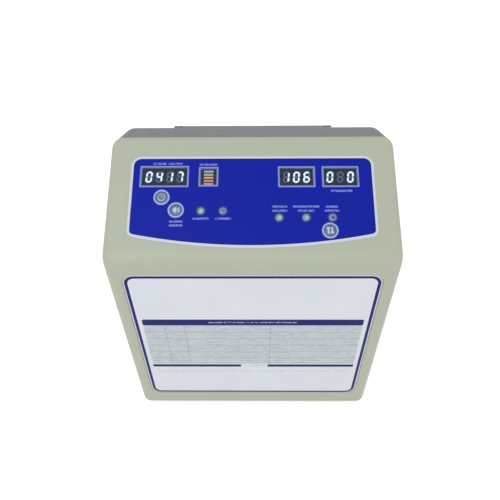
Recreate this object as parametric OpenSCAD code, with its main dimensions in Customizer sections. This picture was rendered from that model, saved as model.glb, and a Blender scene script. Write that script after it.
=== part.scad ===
// Compression therapy pump: a tabletop or bed-hung air pump with a sloping
// control console, an upright labelled face and a rear half that carries the
// mains inlet, the power switch, the two hose outlets and a fold-out bed hook.
// X runs to the right, the face looks along -Y, and Z = 0 is under the feet.

/* [Case] */
// Width over the sides
body_w = 187.5; // [160:1:230]
// Depth from the upright face to the flat back
body_d = 118; // [110:1:142]
// Height of the corner between face and console, over the case bottom
nose_h = 168.3; // [158:0.1:202]
// Tilt of the console
slope = 30; // [26:1:34]
// Length of the console along its tilt
slope_l = 86.3; // [82:0.1:92]
// Wall thickness
wall = 2.8; // [2.4:0.1:3.4]
// Fall of the top behind the console
rear_fall = 18; // [12:1:22]
// Radius of the corner between face and console
nose_r = 12; // [8:1:16]
// Radius of the console's upper edge
crest_r = 6; // [4:1:9]
// Radius of the upper rear edge
rear_r = 20; // [14:1:24]
// Radius of the lower front and rear edges
base_r = 3; // [2:0.5:8]
// Radius of the lower side edges
skirt_r = 10; // [6:1:14]
// Radius of the upright front edges
edge_r = 6; // [4:1:10]
// Radius of the upright rear edges
back_r = 9; // [5:1:14]
// Radius of the upper side edges
cheek_r = 8; // [6:1:14]
// Radius of the console's side edges
brow_r = 4; // [2:0.5:6]
// Distance from the console's upper edge back to the parting line
part_back = 1.5; // [1:0.5:6]
// Reach of the rear half's lip into the front half
lip_l = 3; // [2:0.5:4]
// Thickness of the lip
lip_t = 1.5; // [1.2:0.1:2]
// Clearance between parts that slide together by hand
fit = 0.15; // [0.1:0.05:0.3]

/* [Feet and case screws] */
// Height of the feet under the case
foot_h = 3; // [2:0.5:5]
// Diameter of a foot
foot_d = 16; // [12:1:20]
// Inset of the feet from the sides
foot_in_x = 21; // [18:1:26]
// Inset of the feet from face and back
foot_in_y = 17; // [15:1:22]
// Height of the tray bosses over the case bottom
boss_h = 10; // [9:0.5:12]
// Inset of the case screws from the sides
screw_in_x = 10; // [9:0.5:12]
// Height of the lower case screws over the case bottom
screw_lo = 27; // [26:1:30]
// Height of the upper case screws over the case bottom
screw_hi = 132; // [125:1:138]
// Diameter of a screw's shank
shank_d = 2.9; // [2.5:0.1:3]
// Diameter of a screw's hole
hole_d = 3; // [3:0.1:3.2]
// Diameter of a screw's head
head_d = 5.6; // [5:0.1:6]
// Height of a screw's head
head_h = 2.2; // [1.8:0.1:2.6]

/* [Face label] */
// Width of the label
label_w = 163.5; // [140:0.5:164]
// Height of the label
label_h = 139.8; // [120:0.1:142]
// Height of the label's lower edge over the case bottom
label_lo = 16.1; // [14:0.1:18]
// Corner radius of the label
label_r = 8; // [5:0.5:10]
// Thickness of the label
label_t = 0.5; // [0.4:0.1:0.8]
// Depth of the recess that holds the label
recess_t = 1; // [0.9:0.1:1.2]
// Margin of the recess round the label
recess_m = 3.6; // [2:0.1:4]

/* [Console] */
// Width of the blue control film
film_w = 157.6; // [140:0.1:158]
// Distance of the film's upper edge up the console
film_hi = 72.2; // [70:0.1:74]
// Distance of the film's lower corners up the console
film_lo = 17.3; // [16:0.1:19]
// Bow of the film's lower edge
film_bow = 7.7; // [4:0.1:8]
// Thickness of the film
film_t = 0.6; // [0.5:0.1:0.8]
// Radius of the film's upper corners
film_r = 6; // [4:0.5:9]
// Overlap of a display window onto the console around its opening
window_rim = 1.4; // [1.2:0.1:1.8]
// Diameter of a button's cap
cap_d = 10.4; // [9:0.1:10.6]
// Gap round a button's cap
cap_gap = 0.3; // [0.25:0.05:0.4]
// Height of a button's rim over the console
cap_h = 0.9; // [0.7:0.1:1.2]
// Rise of a button's dome over its rim
dome_h = 0.8; // [0.5:0.1:1]
// Travel of a button
press_l = 0.5; // [0.3:0.05:0.7]
// Diameter of an indicator lamp
lamp_d = 5; // [4:0.1:5.4]
// Distance of the display board under the console's surface
board_drop = 10; // [9:0.5:11]
// Thickness of every circuit board
board_t = 1.6; // [1.2:0.1:2]

/* [Pump] */
// Throw of the pump's crank
crank_e = 1.5; // [1:0.1:2]
// Diameter of the crank's eccentric
crank_d = 14; // [12:0.5:15]
// Diameter of the motor's shaft
shaft_d = 5; // [4:0.5:6]
// Running clearance of a shaft or pin in its hole, on the radius
run = 0.06; // [0.03:0.01:0.08]
// Diameter of the motor
motor_d = 35; // [32:1:36]
// Length of the motor
motor_l = 46; // [40:1:48]
// Height of the rubber mounts
mount_h = 8; // [7:0.5:10]
// Travel of a valve's plunger
valve_l = 1.2; // [0.8:0.1:1.6]

/* [Back] */
// Diameter of a hose outlet's bore
port_d = 7; // [6:0.5:9]
// Length of a hose outlet outside the back
port_l = 15; // [12:1:16]
// Travel of an outlet's latch
latch_l = 1.2; // [0.8:0.1:1.6]
// Swing of the power switch between off and on
rocker_swing = 16; // [12:1:20]
// Width of the bed hook
hook_w = 107; // [96:1:112]
// Length of the bed hook below its pins
hook_l = 68; // [60:1:70]
// Thickness of the bed hook
hook_t = 5; // [4:0.5:6]
// Reach of the hook's lip from its arms
lip_reach = 14; // [12:1:15]
// Height of the hook's pins over the case bottom
hook_h = 186.5; // [180:0.5:192]
// Diameter of the hook's pins
pin_d = 5; // [4:0.5:6]

/* [Hidden] */
$fn = 48;
steps = 6;
far = 400;
nudge = 0.2;
face_y = -(body_d + port_l) / 2;
back_y = face_y + body_d;
base_z = foot_h;
nose_z = base_z + nose_h;
crest_y = face_y + slope_l * cos(slope);
crest_z = nose_z + slope_l * sin(slope);
rear_z = crest_z - (back_y - crest_y) * tan(rear_fall);
part_y = crest_y + part_back;
inner_y = back_y - wall;
tray_z = base_z + boss_h;
tray_t = 2;
deck_z = tray_z + tray_t;
side_form = [[face_y, base_z], [back_y, base_z], [back_y, rear_z], [crest_y, crest_z], [face_y, nose_z]];
side_radii = [base_r, base_r, rear_r, crest_r, nose_r];
foot_x = body_w / 2 - foot_in_x;
screw_x = body_w / 2 - screw_in_x;
board_top = -board_drop;
board_low = board_top - board_t;
boss_d = 8;
post_d = 7;
neck_d = foot_d / 3;
neck_l = 3.6;
// Reach of a cut past its faces, and of a boss into the wall that carries it
over = 1;
sink = 0.4;
flange_d = 12.4;
flange_t = 1;
key_gap = 0.05;
stem_d = 4;
key_w = 6;
key_pin_d = 3.4;
key_pin_l = 0.8;
lamp_rise = 0.3;
lamp_ball = 12;
switch_top = -wall - flange_t - key_gap * 2 - press_l - 1;
hook_boss_l = 6;
case_boss_l = 20;
case_hole_l = 16;
case_rib_t = 2.4;
case_screw_l = 22;
case_screw_in = 8;
// Control positions: across the console, and up it from the nose corner
time_at = [-57.8, 43.2];
mute_at = [-48.3, 34.5];
level_at = [48.6, 20.7];
lamp_spots = [[-32.5, 34.1], [-18.5, 34.1], [17, 29.5], [34, 29.5], [50.6, 29.5]];
// Display windows: centre across, centre up, width, height
counter_at = [-56.8, 57.8, 31.8, 15];
bars_at = [-28.2, 57.6, 12.8, 13.8];
mode_at = [28.6, 57.4, 24, 14.7];
level_window_at = [56.8, 57.4, 23.8, 14.7];
windows = [counter_at, bars_at, mode_at, level_window_at];
digit_size = [4.3, 7.8, 0.9];
digit_t = 0.25;
counter_pitch = 6.7;
number_pitch = 6.6;
display_board_at = [0, 40.5, 166, 61];
display_screws = [[-78, 14], [78, 14], [-78, 67], [78, 67], [-5, 14], [-5, 67]];
main_at = [0, 117, 142, 66];
main_gap = 9.2;
main_y = face_y + wall + main_gap;
main_screws = [[-66, 90], [66, 90], [-66, 146], [66, 146]];
power_at = [-51, 46, 52, 68];
power_h = 6;
power_z = deck_z + power_h;
cell_d = 18.4;
cell_rows = [3, 2];
cell_l = 66;
battery_at = [40, 30];
pump_x = 5;
pump_y = face_y + 78;
pump_plate_z = deck_z + mount_h;
plate_t = 2;
pump_z = pump_plate_z + plate_t;
crank_z = pump_z + 19;
pump_block = [36, 36, 40];
diaphragm_t = 2;
head_t = 15;
mount_xs = [-18, 66];
mount_ys = [-15, 15];
mount_d = 12;
valve_x = 28;
valve_z = base_z + 148;
valve_block = [62, 18, 24];
valve_y = back_y - 32;
valve_xs = [14, 42];
coil_d = 18;
coil_l = 24;
plunger_d = 6;
port_xs = [38, 66];
port_h = 92;
inlet_x = -56;
inlet_h = 34;
switch_x = -68;
switch_h = 74;
fuse_xs = [-46, -28];
fuse_h = 74;
vent_at = [48, 44, 60, 38];
vent_slot = 3;
plate_at = [-14, 98, 52, 24];
hook_z = base_z + hook_h;
hook_out = 6;
barrel_d = 11;
arm_w = 20;
lug_w = 6;
lug_gap = 0.6;
slot_gap = 3.5;
bumper_x = 74;
bumper_h = 14;
hook_screw_x = hook_w / 2 + lug_w + 5;
pin_l = 14;
ribbon_at = [0, 22];
plug_h = 6;
plug_xs = [-54, 30, 50, 4];
power_plug_x = -2;
plug_row = 90;
strap_t = 1.2;
strap_w = 14;
barb_xs = [4, 34, 54];
latch_w = 8;
rocker_w = 10;
rocker_pin = 2.5;
rocker_in = 1;
wire_d = 2.4;
sensor_at = [-48, 126];
charge_bar = [7, 1.2];
charge_step = 2;
board_r = 2;
// Display board: its ribbon plug and its drivers
ribbon_plug = [30, 6];
ribbon_w = 24;
ribbon_half_t = 0.4;
driver_xs = [-56, -30, 28, 54];
driver_y = 44;
driver_size = [14, 9, 2.2];
// Main board: chips as centre, width, length and height, then sounder and sensor
main_ribbon_y = 143;
main_plug = [12, 6];
main_chips = [[-18, 118, 20, 20, 1.6], [14, 120, 14, 9, 1.6], [36, 118, 9, 18, 4]];
sounder = [50, 126, 12, 9];
sensor_size = [14, 12, 7];
sensor_port = [4, 6, 5];
// Tray: width past the feet, depth short of the case, side flanges
tray_past = 12;
tray_short = 14;
tray_side = 1.5;
tray_rim = 9;
power_post_d = 6;
power_post_in = 5;
// Power board: capacitors as place, diameter and height, then the finned heat sink and plugs
capacitors = [[-8, 15, 15, 24], [7, 20, 10, 16]];
sink_at = [20, 13, 2, 14, 24];
fin_ys = [7, 11, 15, 19];
fin_at = [17.5, 4, 1, 24];
low_plug = [-28, 14, 6];
mains_plug = [29, 18, 6];
// Transformer: core, its side windows and the coils in them
core_at = [3, -9];
core_size = [34, 26, 26];
core_window = [22, 6, 16, 5];
core_coil = [21, 4, 15, 5.5, 11];
strap_foot = 8;
strap_screw = 4.5;
plate_past = 16;
plate_r = 4;
bolt_at = 14;
bolt_depth = 12;
crank_room_d = 30;
crank_room_wall = 5;
shaft_room_d = 12;
rod_room_d = 22;
// Motor: end cap, terminals and the bore for the shaft
motor_cap = [6, 3];
terminal = [3, 0.8, 4];
terminal_y = 9;
shaft_hole_l = 13;
// Crank: eccentric and counterweight
shaft_back = 6;
shaft_in = 12;
crank_t = 8;
weight_d = 24;
weight_t = 4;
weight_x = 5.5;
rod_t = 7;
rod_rim = 7;
rod_neck_d = 6;
rod_head = [15, 2.5];
diaphragm_d = 34;
barb_d = 5;
barb_l = 6;
head_barb_x = 8;
head_room = [24, 3];
valve_hole_z = 6;
side_barb_d = 4;
coil_floor = 4;
plunger_gap = 0.3;
// Outlet: flange, body, neck and nut round the bore
port_flange = [23, 3];
port_body = 11;
port_neck = 7;
port_nut = 4;
port_barb = 2;
port_barb_l = 10;
latch_z = 8;
latch_h = latch_w - 2;
latch_low = port_d / 2 + 1;
latch_room_l = 12;
latch_rise = 7.5;
// Inlet: flange, body and recess
inlet_flange = [50, 24, 2.5, 4];
inlet_body = [27.8, 20.3, 22, 3];
inlet_room = [24.4, 16.6, 14.5, 2.5];
inlet_screw = 20;
inlet_hole = [28.4, 20.9];
inlet_pins_at = [[-7, -2], [0, 2], [7, -2]];
inlet_pin = [2, 4, 12.5];
inlet_tab = [0.8, 6, 7, 29];
fuse_body = [12, 22];
fuse_flange = [15.6, 2];
fuse_cap = [11, 6];
fuse_slot = [8, 1.4, 1];
switch_body = [13, 19.2, 16];
switch_flange = [16, 22.6, 1.6];
switch_room = [0.4, 16.4, 12];
switch_hole = [13.4, 19.6];
rocker_form = [[-7.4, 3.4], [-6.6, -2.5], [-2, -4.5], [2, -4.5], [6.6, -2.5], [7.4, 3.4], [0, 1.6]];
vent_past = 6;
vent_t = 2.5;
vent_r = 3;
vent_rim = 8;
vent_seat = 4;
filter_t = 5;
rating_t = 0.4;
plate_corner = 2;
pin_head = [3, 1.5];
pin_in = 1.5;
bracket_w = 17;
bracket_t = 3;
bracket_low = 36;
bracket_gap = pin_d / 2 + 0.5;
lug_d = 12;
lug_h = 24;
press_gap = 0.02;
hook_screw_hs = [hook_h - 8, hook_h - 26];
pad_in = 16;
pad_size = [24, 1.5];
pad_rim = 3;
bumper_d = 14;
stud_d = 3.8;
stud_hole_d = 4;

function unit(v) = v / norm(v);
function inward(a, b) = let (u = unit(b - a)) [-u[1], u[0]];
function inset(p, t) = [
    for (i = [0 : len(p) - 1])
        let (
            a = p[(i + len(p) - 1) % len(p)],
            b = p[i],
            c = p[(i + 1) % len(p)],
            m = inward(a, b),
            n = inward(b, c)
        ) b + t * (m + n) / (1 + m * n)
];
function arc(a, b, c, r) =
    let (
        u = unit(a - b),
        w = unit(c - b),
        half = acos(u * w) / 2,
        d = r / tan(half),
        mid = b + unit(u + w) * r / sin(half),
        e = (b + u * d - mid) / r,
        f = (b + w * d - mid) / r,
        turn = 180 - 2 * half
    ) [
        for (i = [0 : steps])
            let (q = i / steps) mid + r * (sin((1 - q) * turn) * e + sin(q * turn) * f) / sin(turn)
    ];
function rounded(p, radii) = [
    for (i = [0 : len(p) - 1])
        each arc(p[(i + len(p) - 1) % len(p)], p[i], p[(i + 1) % len(p)], radii[i])
];
function frame(w, h) = [[-w / 2, -h / 2], [w / 2, -h / 2], [w / 2, h / 2], [-w / 2, h / 2]];
function soft_frame(w, h, r) = rounded(frame(w, h), [r, r, r, r]);
function softer(radii, t) = [for (r = radii) max(r - t, 0.8)];

module on_console(at = [0, 0]) {
    translate([at[0], face_y + at[1] * cos(slope), nose_z + at[1] * sin(slope)])
        rotate([slope, 0, 0]) children();
}

module on_face(x = 0, h = 0) {
    translate([x, face_y, base_z + h]) rotate([90, 0, 0]) children();
}

module on_back(x = 0, h = 0) {
    translate([x, back_y, base_z + h]) rotate([90, 0, 180]) children();
}

module block(size) {
    translate([-size[0] / 2, -size[1] / 2, 0]) cube(size);
}

module soft_block(size, r) {
    linear_extrude(size[2]) polygon(soft_frame(size[0], size[1], r));
}

module hole(d, h) {
    translate([0, 0, -over]) cylinder(d = d, h = h + 2 * over);
}

module square_hole(size) {
    translate([0, 0, -over]) block([size[0], size[1], size[2] + 2 * over]);
}

module tube(outer, inner, h) {
    difference() {
        cylinder(d = outer, h = h);
        hole(inner, h);
    }
}

// A screw with a cross slot: its head's seat at the origin, its shank down
module screw(l) {
    difference() {
        union() {
            cylinder(d = head_d, h = head_h);
            translate([0, 0, -l]) cylinder(d = shank_d, h = l);
        }
        translate([0, 0, head_h - 1]) block([head_d * 0.6, 0.9, 2]);
        translate([0, 0, head_h - 1]) block([0.9, head_d * 0.6, 2]);
    }
}

function heading(p, i) = unit(p[min(i + 1, len(p) - 1)] - p[max(i - 1, 0)]);
function carried(p, i, n) =
    i == len(p) ? [] : let (u = heading(p, i), m = unit(n - (n * u) * u)) concat([m], carried(p, i + 1, m));
function eased(p) = [
    p[0],
    for (i = [0 : len(p) - 2]) each [
        if (i > 0) p[i] * 0.75 + p[i + 1] * 0.25,
        if (i < len(p) - 2) p[i] * 0.25 + p[i + 1] * 0.75
    ],
    p[len(p) - 1]
];

// A round run through points, its bends eased and its ends square
module run_through(points, d) {
    p = eased(eased(points));
    sides = 8;
    last = (len(p) - 1) * sides;
    n = carried(p, 0, [0.36, 0.48, 0.8]);
    polyhedron(
        [for (i = [0 : len(p) - 1]) let (u = heading(p, i), v = cross(u, n[i])) for (k = [0 : sides - 1])
            let (a = 360 * k / sides) p[i] + d / 2 * (cos(a) * n[i] + sin(a) * v)],
        concat(
            [for (i = [0 : len(p) - 2]) for (k = [0 : sides - 1]) for (f = [0, 1])
                let (a = i * sides + k, b = i * sides + (k + 1) % sides)
                f == 0 ? [a, a + sides, b] : [b, a + sides, b + sides]],
            [for (k = [1 : sides - 2]) [0, k, k + 1]],
            [for (k = [1 : sides - 2]) [last, last + k + 1, last + k]]
        )
    );
}

// The case as one closed form, drawn in by t on every side
module case_form(t) {
    w = body_w / 2 - t;
    intersection() {
        translate([-w, 0, 0]) rotate([90, 0, 90]) linear_extrude(2 * w)
            polygon(rounded(inset(side_form, t), softer(side_radii, t)));
        translate([0, (face_y + back_y) / 2, 0]) linear_extrude(far)
            polygon(rounded(
                frame(2 * (w + nudge), body_d - 2 * t + 2 * nudge),
                softer([edge_r, edge_r, back_r, back_r], t)
            ));
        translate([0, far / 2, (base_z + crest_z) / 2]) rotate([90, 0, 0]) linear_extrude(far)
            polygon(rounded(
                frame(2 * (w + nudge), crest_z - base_z - 2 * t + 2 * nudge),
                softer([skirt_r, skirt_r, cheek_r, cheek_r], t)
            ));
        on_console() translate([0, far / 2, -far / 2 - t + nudge]) rotate([90, 0, 0]) linear_extrude(far)
            polygon(rounded(frame(2 * (w + nudge), far), softer([brow_r, brow_r, brow_r, brow_r], t)));
    }
}

module ahead_of(y) {
    translate([-far / 2, y - far, -far / 2]) cube([far, far, 2 * far]);
}

module behind(y) {
    translate([-far / 2, y, -far / 2]) cube([far, far, 2 * far]);
}

module front_shell() {
    color([0.78, 0.79, 0.70]) difference() {
        union() {
            difference() {
                case_form(0);
                case_form(wall);
                behind(part_y);
            }
            for (s = [-1, 1]) {
                translate([s * foot_x, face_y + foot_in_y, base_z]) cylinder(d = boss_d, h = boss_h);
                for (h = [screw_lo, screw_hi]) case_boss(s, h);
            }
            for (at = main_screws) on_face(at[0], at[1]) translate([0, 0, -wall - main_gap])
                cylinder(d = post_d, h = main_gap + sink);
            for (at = display_screws) on_console(at) translate([0, 0, board_top])
                cylinder(d = post_d, h = board_drop - wall + sink);
        }
        label_recess();
        console_openings();
        for (s = [-1, 1]) {
            translate([s * foot_x, face_y + foot_in_y, base_z]) hole(neck_d, foot_h);
            for (h = [screw_lo, screw_hi]) translate([s * screw_x, part_y + over, base_z + h])
                rotate([90, 0, 0]) cylinder(d = hole_d, h = case_hole_l);
        }
        for (at = main_screws) on_face(at[0], at[1]) translate([0, 0, -wall - main_gap - over])
            cylinder(d = hole_d, h = main_gap);
        for (at = display_screws) on_console(at) translate([0, 0, board_top - over])
            cylinder(d = hole_d, h = board_drop - wall);
    }
}

// A boss for a case screw, held to the side by a rib
module case_boss(s, h) {
    translate([s * screw_x, part_y - case_boss_l, base_z + h]) rotate([-90, 0, 0])
        cylinder(d = boss_d, h = case_boss_l);
    side_x = body_w / 2 - wall / 2;
    translate([min(s * screw_x, s * side_x), part_y - case_boss_l, base_z + h - case_rib_t / 2])
        cube([screw_in_x - wall / 2, case_boss_l, case_rib_t]);
}

module label_recess() {
    on_face(0, label_lo + label_h / 2) translate([0, 0, -recess_t])
        soft_block([label_w + 2 * recess_m, label_h + 2 * recess_m, recess_t + over], label_r);
}

module console_openings() {
    for (w = windows) on_console(w) translate([0, 0, -wall])
        square_hole([w[2] - 2 * window_rim, w[3] - 2 * window_rim, wall]);
    for (at = [time_at, mute_at, level_at]) on_console(at) translate([0, 0, -wall])
        hole(cap_d + 2 * cap_gap, wall);
    for (at = lamp_spots) on_console(at) translate([0, 0, -wall]) hole(lamp_d + 2 * fit, wall);
}

module rear_shell() {
    color([0.42, 0.44, 0.44]) difference() {
        union() {
            difference() {
                case_form(0);
                case_form(wall);
                ahead_of(part_y);
            }
            rear_lip();
            rear_bosses();
            intersection() {
                case_form(wall / 2);
                hook_slot(wall, 0);
            }
        }
        hook_slot(0, 1);
        rear_openings();
    }
}

// The ring that centres the halves, clear of the case screws' bosses
module rear_lip() {
    difference() {
        union() {
            difference() {
                case_form(wall + fit);
                ahead_of(part_y - lip_l);
                behind(part_y + lip_l);
            }
            difference() {
                case_form(wall / 2);
                ahead_of(part_y);
                behind(part_y + lip_l);
            }
        }
        case_form(wall + fit + lip_t);
        for (s = [-1, 1]) for (h = [screw_lo, screw_hi])
            translate([s * screw_x, part_y, base_z + h]) rotate([90, 0, 0]) translate([0, 0, -0.5])
                block([boss_d * 3, boss_d + 1, lip_l * 2]);
    }
}

module rear_bosses() {
    for (s = [-1, 1]) {
        translate([s * foot_x, back_y - foot_in_y, base_z]) cylinder(d = boss_d, h = boss_h);
        for (h = [screw_lo, screw_hi]) on_back(s * screw_x, h) translate([0, 0, part_y - back_y])
            cylinder(d = boss_d, h = back_y - part_y - sink);
        for (h = hook_screw_hs) on_back(s * hook_screw_x, h) translate([0, 0, -wall - hook_boss_l])
            cylinder(d = boss_d, h = hook_boss_l + 0.5);
    }
    for (x = valve_holes()) translate([x, valve_y + valve_block[1], valve_z + valve_hole_z]) rotate([-90, 0, 0])
        cylinder(d = boss_d, h = inner_y - valve_y - valve_block[1] + sink);
    on_back(vent_at[0], vent_at[1]) translate([0, 0, -wall - filter_t]) difference() {
        block([vent_at[2] + vent_seat, vent_at[3] + vent_seat, filter_t + sink]);
        translate([0, 0, -over]) block([vent_at[2], vent_at[3], filter_t + 3 * over]);
    }
}

function valve_holes() = [valve_x - valve_block[0] / 2 + 5, valve_x + valve_block[0] / 2 - 5];

// The pocket that takes the folded hook's lip, grown by t
module hook_slot(t, cut) {
    w = hook_w + 6 + 2 * t;
    d = lip_reach + hook_t / 2 - hook_out + 2 + t;
    low = hook_h - hook_l - slot_gap - t;
    h = hook_t + 2 * slot_gap + 3 + 2 * t;
    on_back(0, low + h / 2) translate([0, 0, -d]) block([w, h, d + cut * 10]);
}

module rear_openings() {
    for (s = [-1, 1]) {
        translate([s * foot_x, back_y - foot_in_y, base_z]) hole(neck_d, foot_h);
        translate([s * foot_x, back_y - foot_in_y, tray_z - 4.5]) cylinder(d = hole_d, h = 6);
        for (h = [screw_lo, screw_hi]) on_back(s * screw_x, h) {
            translate([0, 0, part_y - back_y - over]) cylinder(d = hole_d + 0.4, h = back_y - part_y);
            translate([0, 0, part_y - back_y + case_screw_in]) cylinder(d = head_d + 0.6, h = far);
        }
        for (h = hook_screw_hs) on_back(s * hook_screw_x, h) translate([0, 0, -wall - 5])
            cylinder(d = hole_d, h = wall + 6);
        on_back(s * bumper_x, bumper_h) translate([0, 0, -wall]) hole(stud_hole_d, wall);
    }
    for (x = valve_holes()) translate([x, valve_y + valve_block[1] - over, valve_z + valve_hole_z])
        rotate([-90, 0, 0]) cylinder(d = hole_d, h = 8);
    for (x = port_xs) on_back(x, port_h) translate([0, 0, -wall]) hole(port_d + port_neck + 2 * fit, wall);
    on_back(vent_at[0], vent_at[1]) translate([0, 0, -wall])
        square_hole([vent_at[2] - vent_seat, vent_at[3] - vent_seat, wall]);
    on_back(inlet_x, inlet_h) translate([0, 0, -wall - over])
        soft_block([inlet_hole[0], inlet_hole[1], wall + 2 * over], inlet_body[3]);
    for (x = [-1, 1]) on_back(inlet_x + x * inlet_screw, inlet_h) translate([0, 0, -wall]) hole(hole_d, wall);
    on_back(switch_x, switch_h) translate([0, 0, -wall]) square_hole([switch_hole[0], switch_hole[1], wall]);
    for (x = fuse_xs) on_back(x, fuse_h) translate([0, 0, -wall]) hole(fuse_body[0] + 2 * fit, wall);
}

function bowed(w, hi, lo, bow) = concat(
    [for (i = [0 : 4 * steps]) let (x = w * (i / (4 * steps) - 0.5)) [x, lo - bow * (1 - pow(2 * x / w, 2))]],
    arc([w / 2, lo], [w / 2, hi], [-w / 2, hi], film_r),
    arc([w / 2, hi], [-w / 2, hi], [-w / 2, lo], film_r)
);

module control_film() {
    color([0.10, 0.13, 0.62]) on_console() difference() {
        linear_extrude(film_t) polygon(bowed(film_w, film_hi, film_lo, film_bow));
        for (w = windows) translate([w[0], w[1], 0]) square_hole([w[2] + run, w[3] + run, film_t]);
        for (at = [time_at, mute_at, level_at]) translate([at[0], at[1], 0]) hole(cap_d + 2 * cap_gap, film_t);
        for (at = lamp_spots) translate([at[0], at[1], 0]) hole(lamp_d + 2 * fit, film_t);
    }
}

module face_label() {
    color([0.85, 0.87, 0.88]) on_face(0, label_lo + label_h / 2) translate([0, 0, -recess_t])
        soft_block([label_w, label_h, label_t], label_r);
}

module display_modules() {
    color([0.06, 0.06, 0.08]) for (w = windows) on_console(w) translate([0, 0, board_top])
        block([w[2] - 2 * window_rim - 2 * fit, w[3] - 2 * window_rim - 2 * fit, board_drop - digit_t]);
}

module display_windows() {
    color([0.45, 0.55, 0.75]) for (w = windows) on_console(w) block([w[2], w[3], film_t]);
}

// A bar with pointed ends, l long and t wide, turned by a
module bar(l, t, a) {
    rotate([0, 0, a]) linear_extrude(digit_t) polygon([
        [-l / 2, 0], [(t - l) / 2, -t / 2], [(l - t) / 2, -t / 2],
        [l / 2, 0], [(l - t) / 2, t / 2], [(t - l) / 2, t / 2]
    ]);
}

// The seven bars of a numeral
module numeral() {
    w = digit_size[0];
    h = digit_size[1];
    t = digit_size[2];
    for (y = [-1, 0, 1]) translate([0, y * (h - t) / 2, 0]) bar(w - t - nudge, t, 0);
    for (x = [-1, 1]) for (y = [-1, 1]) translate([x * (w - t) / 2, y * (h - t) / 4, 0])
        bar((h - t) / 2 - nudge, t, 90);
}

module numerals(at, count, pitch) {
    on_console(at) translate([0, 0, -digit_t]) for (i = [0 : count - 1])
        translate([(i - (count - 1) / 2) * pitch, 0, 0]) numeral();
}

module counter_digits() {
    color([0.80, 0.88, 1]) numerals(counter_at, 4, counter_pitch);
}

module mode_digits() {
    color([0.80, 0.88, 1]) numerals(mode_at, 3, number_pitch);
}

module level_digits() {
    color([0.80, 0.88, 1]) numerals(level_window_at, 3, number_pitch);
}

module charge_bars() {
    color([0.85, 0.72, 0.45]) on_console(bars_at) translate([0, 0, -digit_t]) for (i = [-2 : 2])
        translate([0, charge_step * i, 0]) block([charge_bar[0], charge_bar[1], digit_t]);
}

// A domed cap in its opening, a flange under the wall and a stem over the switch
module button(at) {
    top = cap_h + dome_h;
    ball = (pow(cap_d / 2, 2) + pow(dome_h, 2)) / (2 * dome_h);
    under = -wall - key_gap;
    foot = switch_top + press_l + key_gap;
    color([0.72, 0.78, 0.90]) on_console(at) {
        intersection() {
            translate([0, 0, under]) cylinder(d = cap_d, h = top - under);
            translate([0, 0, top - ball]) sphere(ball);
        }
        translate([0, 0, under - flange_t]) cylinder(d = flange_d, h = flange_t);
        translate([0, 0, foot]) cylinder(d = stem_d, h = under - foot - key_gap);
    }
}

module time_button() {
    button(time_at);
}

module mute_button() {
    button(mute_at);
}

module level_button() {
    button(level_at);
}

// A light pipe that stands on the board and ends in a low dome
module lamp(at, tint) {
    color(tint) on_console(at) intersection() {
        translate([0, 0, board_top]) cylinder(d = lamp_d, h = board_drop + film_t + lamp_rise);
        translate([0, 0, film_t + lamp_rise - lamp_ball]) sphere(lamp_ball);
    }
}

module mains_lamp() {
    lamp(lamp_spots[0], [0.45, 0.85, 0.62]);
}

module battery_lamp() {
    lamp(lamp_spots[1], [0.42, 0.50, 0.62]);
}

module high_lamp() {
    lamp(lamp_spots[2], [0.42, 0.50, 0.62]);
}

module low_lamp() {
    lamp(lamp_spots[3], [0.42, 0.50, 0.62]);
}

module fault_lamp() {
    lamp(lamp_spots[4], [0.42, 0.50, 0.62]);
}

module display_board() {
    color([0.08, 0.36, 0.20]) on_console() {
        difference() {
            translate([display_board_at[0], display_board_at[1], board_low])
                soft_block([display_board_at[2], display_board_at[3], board_t], board_r);
            for (at = display_screws) translate([at[0], at[1], board_low]) hole(hole_d, board_t);
        }
        for (at = [time_at, mute_at, level_at]) translate([at[0], at[1], board_top]) {
            block([key_w, key_w, switch_top - board_top - key_pin_l]);
            cylinder(d = key_pin_d, h = switch_top - board_top);
        }
        translate([ribbon_at[0], ribbon_at[1], board_low - plug_h])
            block([ribbon_plug[0], ribbon_plug[1], plug_h]);
        for (x = driver_xs) translate([x, driver_y, board_low - driver_size[2]]) block(driver_size);
    }
}

function on_slope(s, n) = [
    face_y + s * cos(slope) - n * sin(slope),
    nose_z + s * sin(slope) + n * cos(slope)
];
function ribbon_line() =
    let (
        a = on_slope(ribbon_at[1], board_low - plug_h),
        b = [main_y + board_t + plug_h / 2, base_z + main_ribbon_y + ribbon_plug[1] / 2],
        mid = (a[0] + b[0]) / 2
    ) [a, a + [2.4, -4.2], a + [1.5, -8], [mid, b[1] + 5.6], b + [1, 5.5], b + [0, 3], b];
function beside(p, t) = [
    for (i = [0 : len(p) - 1])
        let (u = unit(p[min(i + 1, len(p) - 1)] - p[max(i - 1, 0)])) p[i] + t * [-u[1], u[0]]
];
function backwards(p) = [for (i = [len(p) - 1 : -1 : 0]) p[i]];

module ribbon_cable() {
    line = ribbon_line();
    color([0.62, 0.64, 0.66]) translate([-ribbon_w / 2, 0, 0]) rotate([90, 0, 90]) linear_extrude(ribbon_w)
        polygon(concat(beside(line, ribbon_half_t), backwards(beside(line, -ribbon_half_t))));
}

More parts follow.
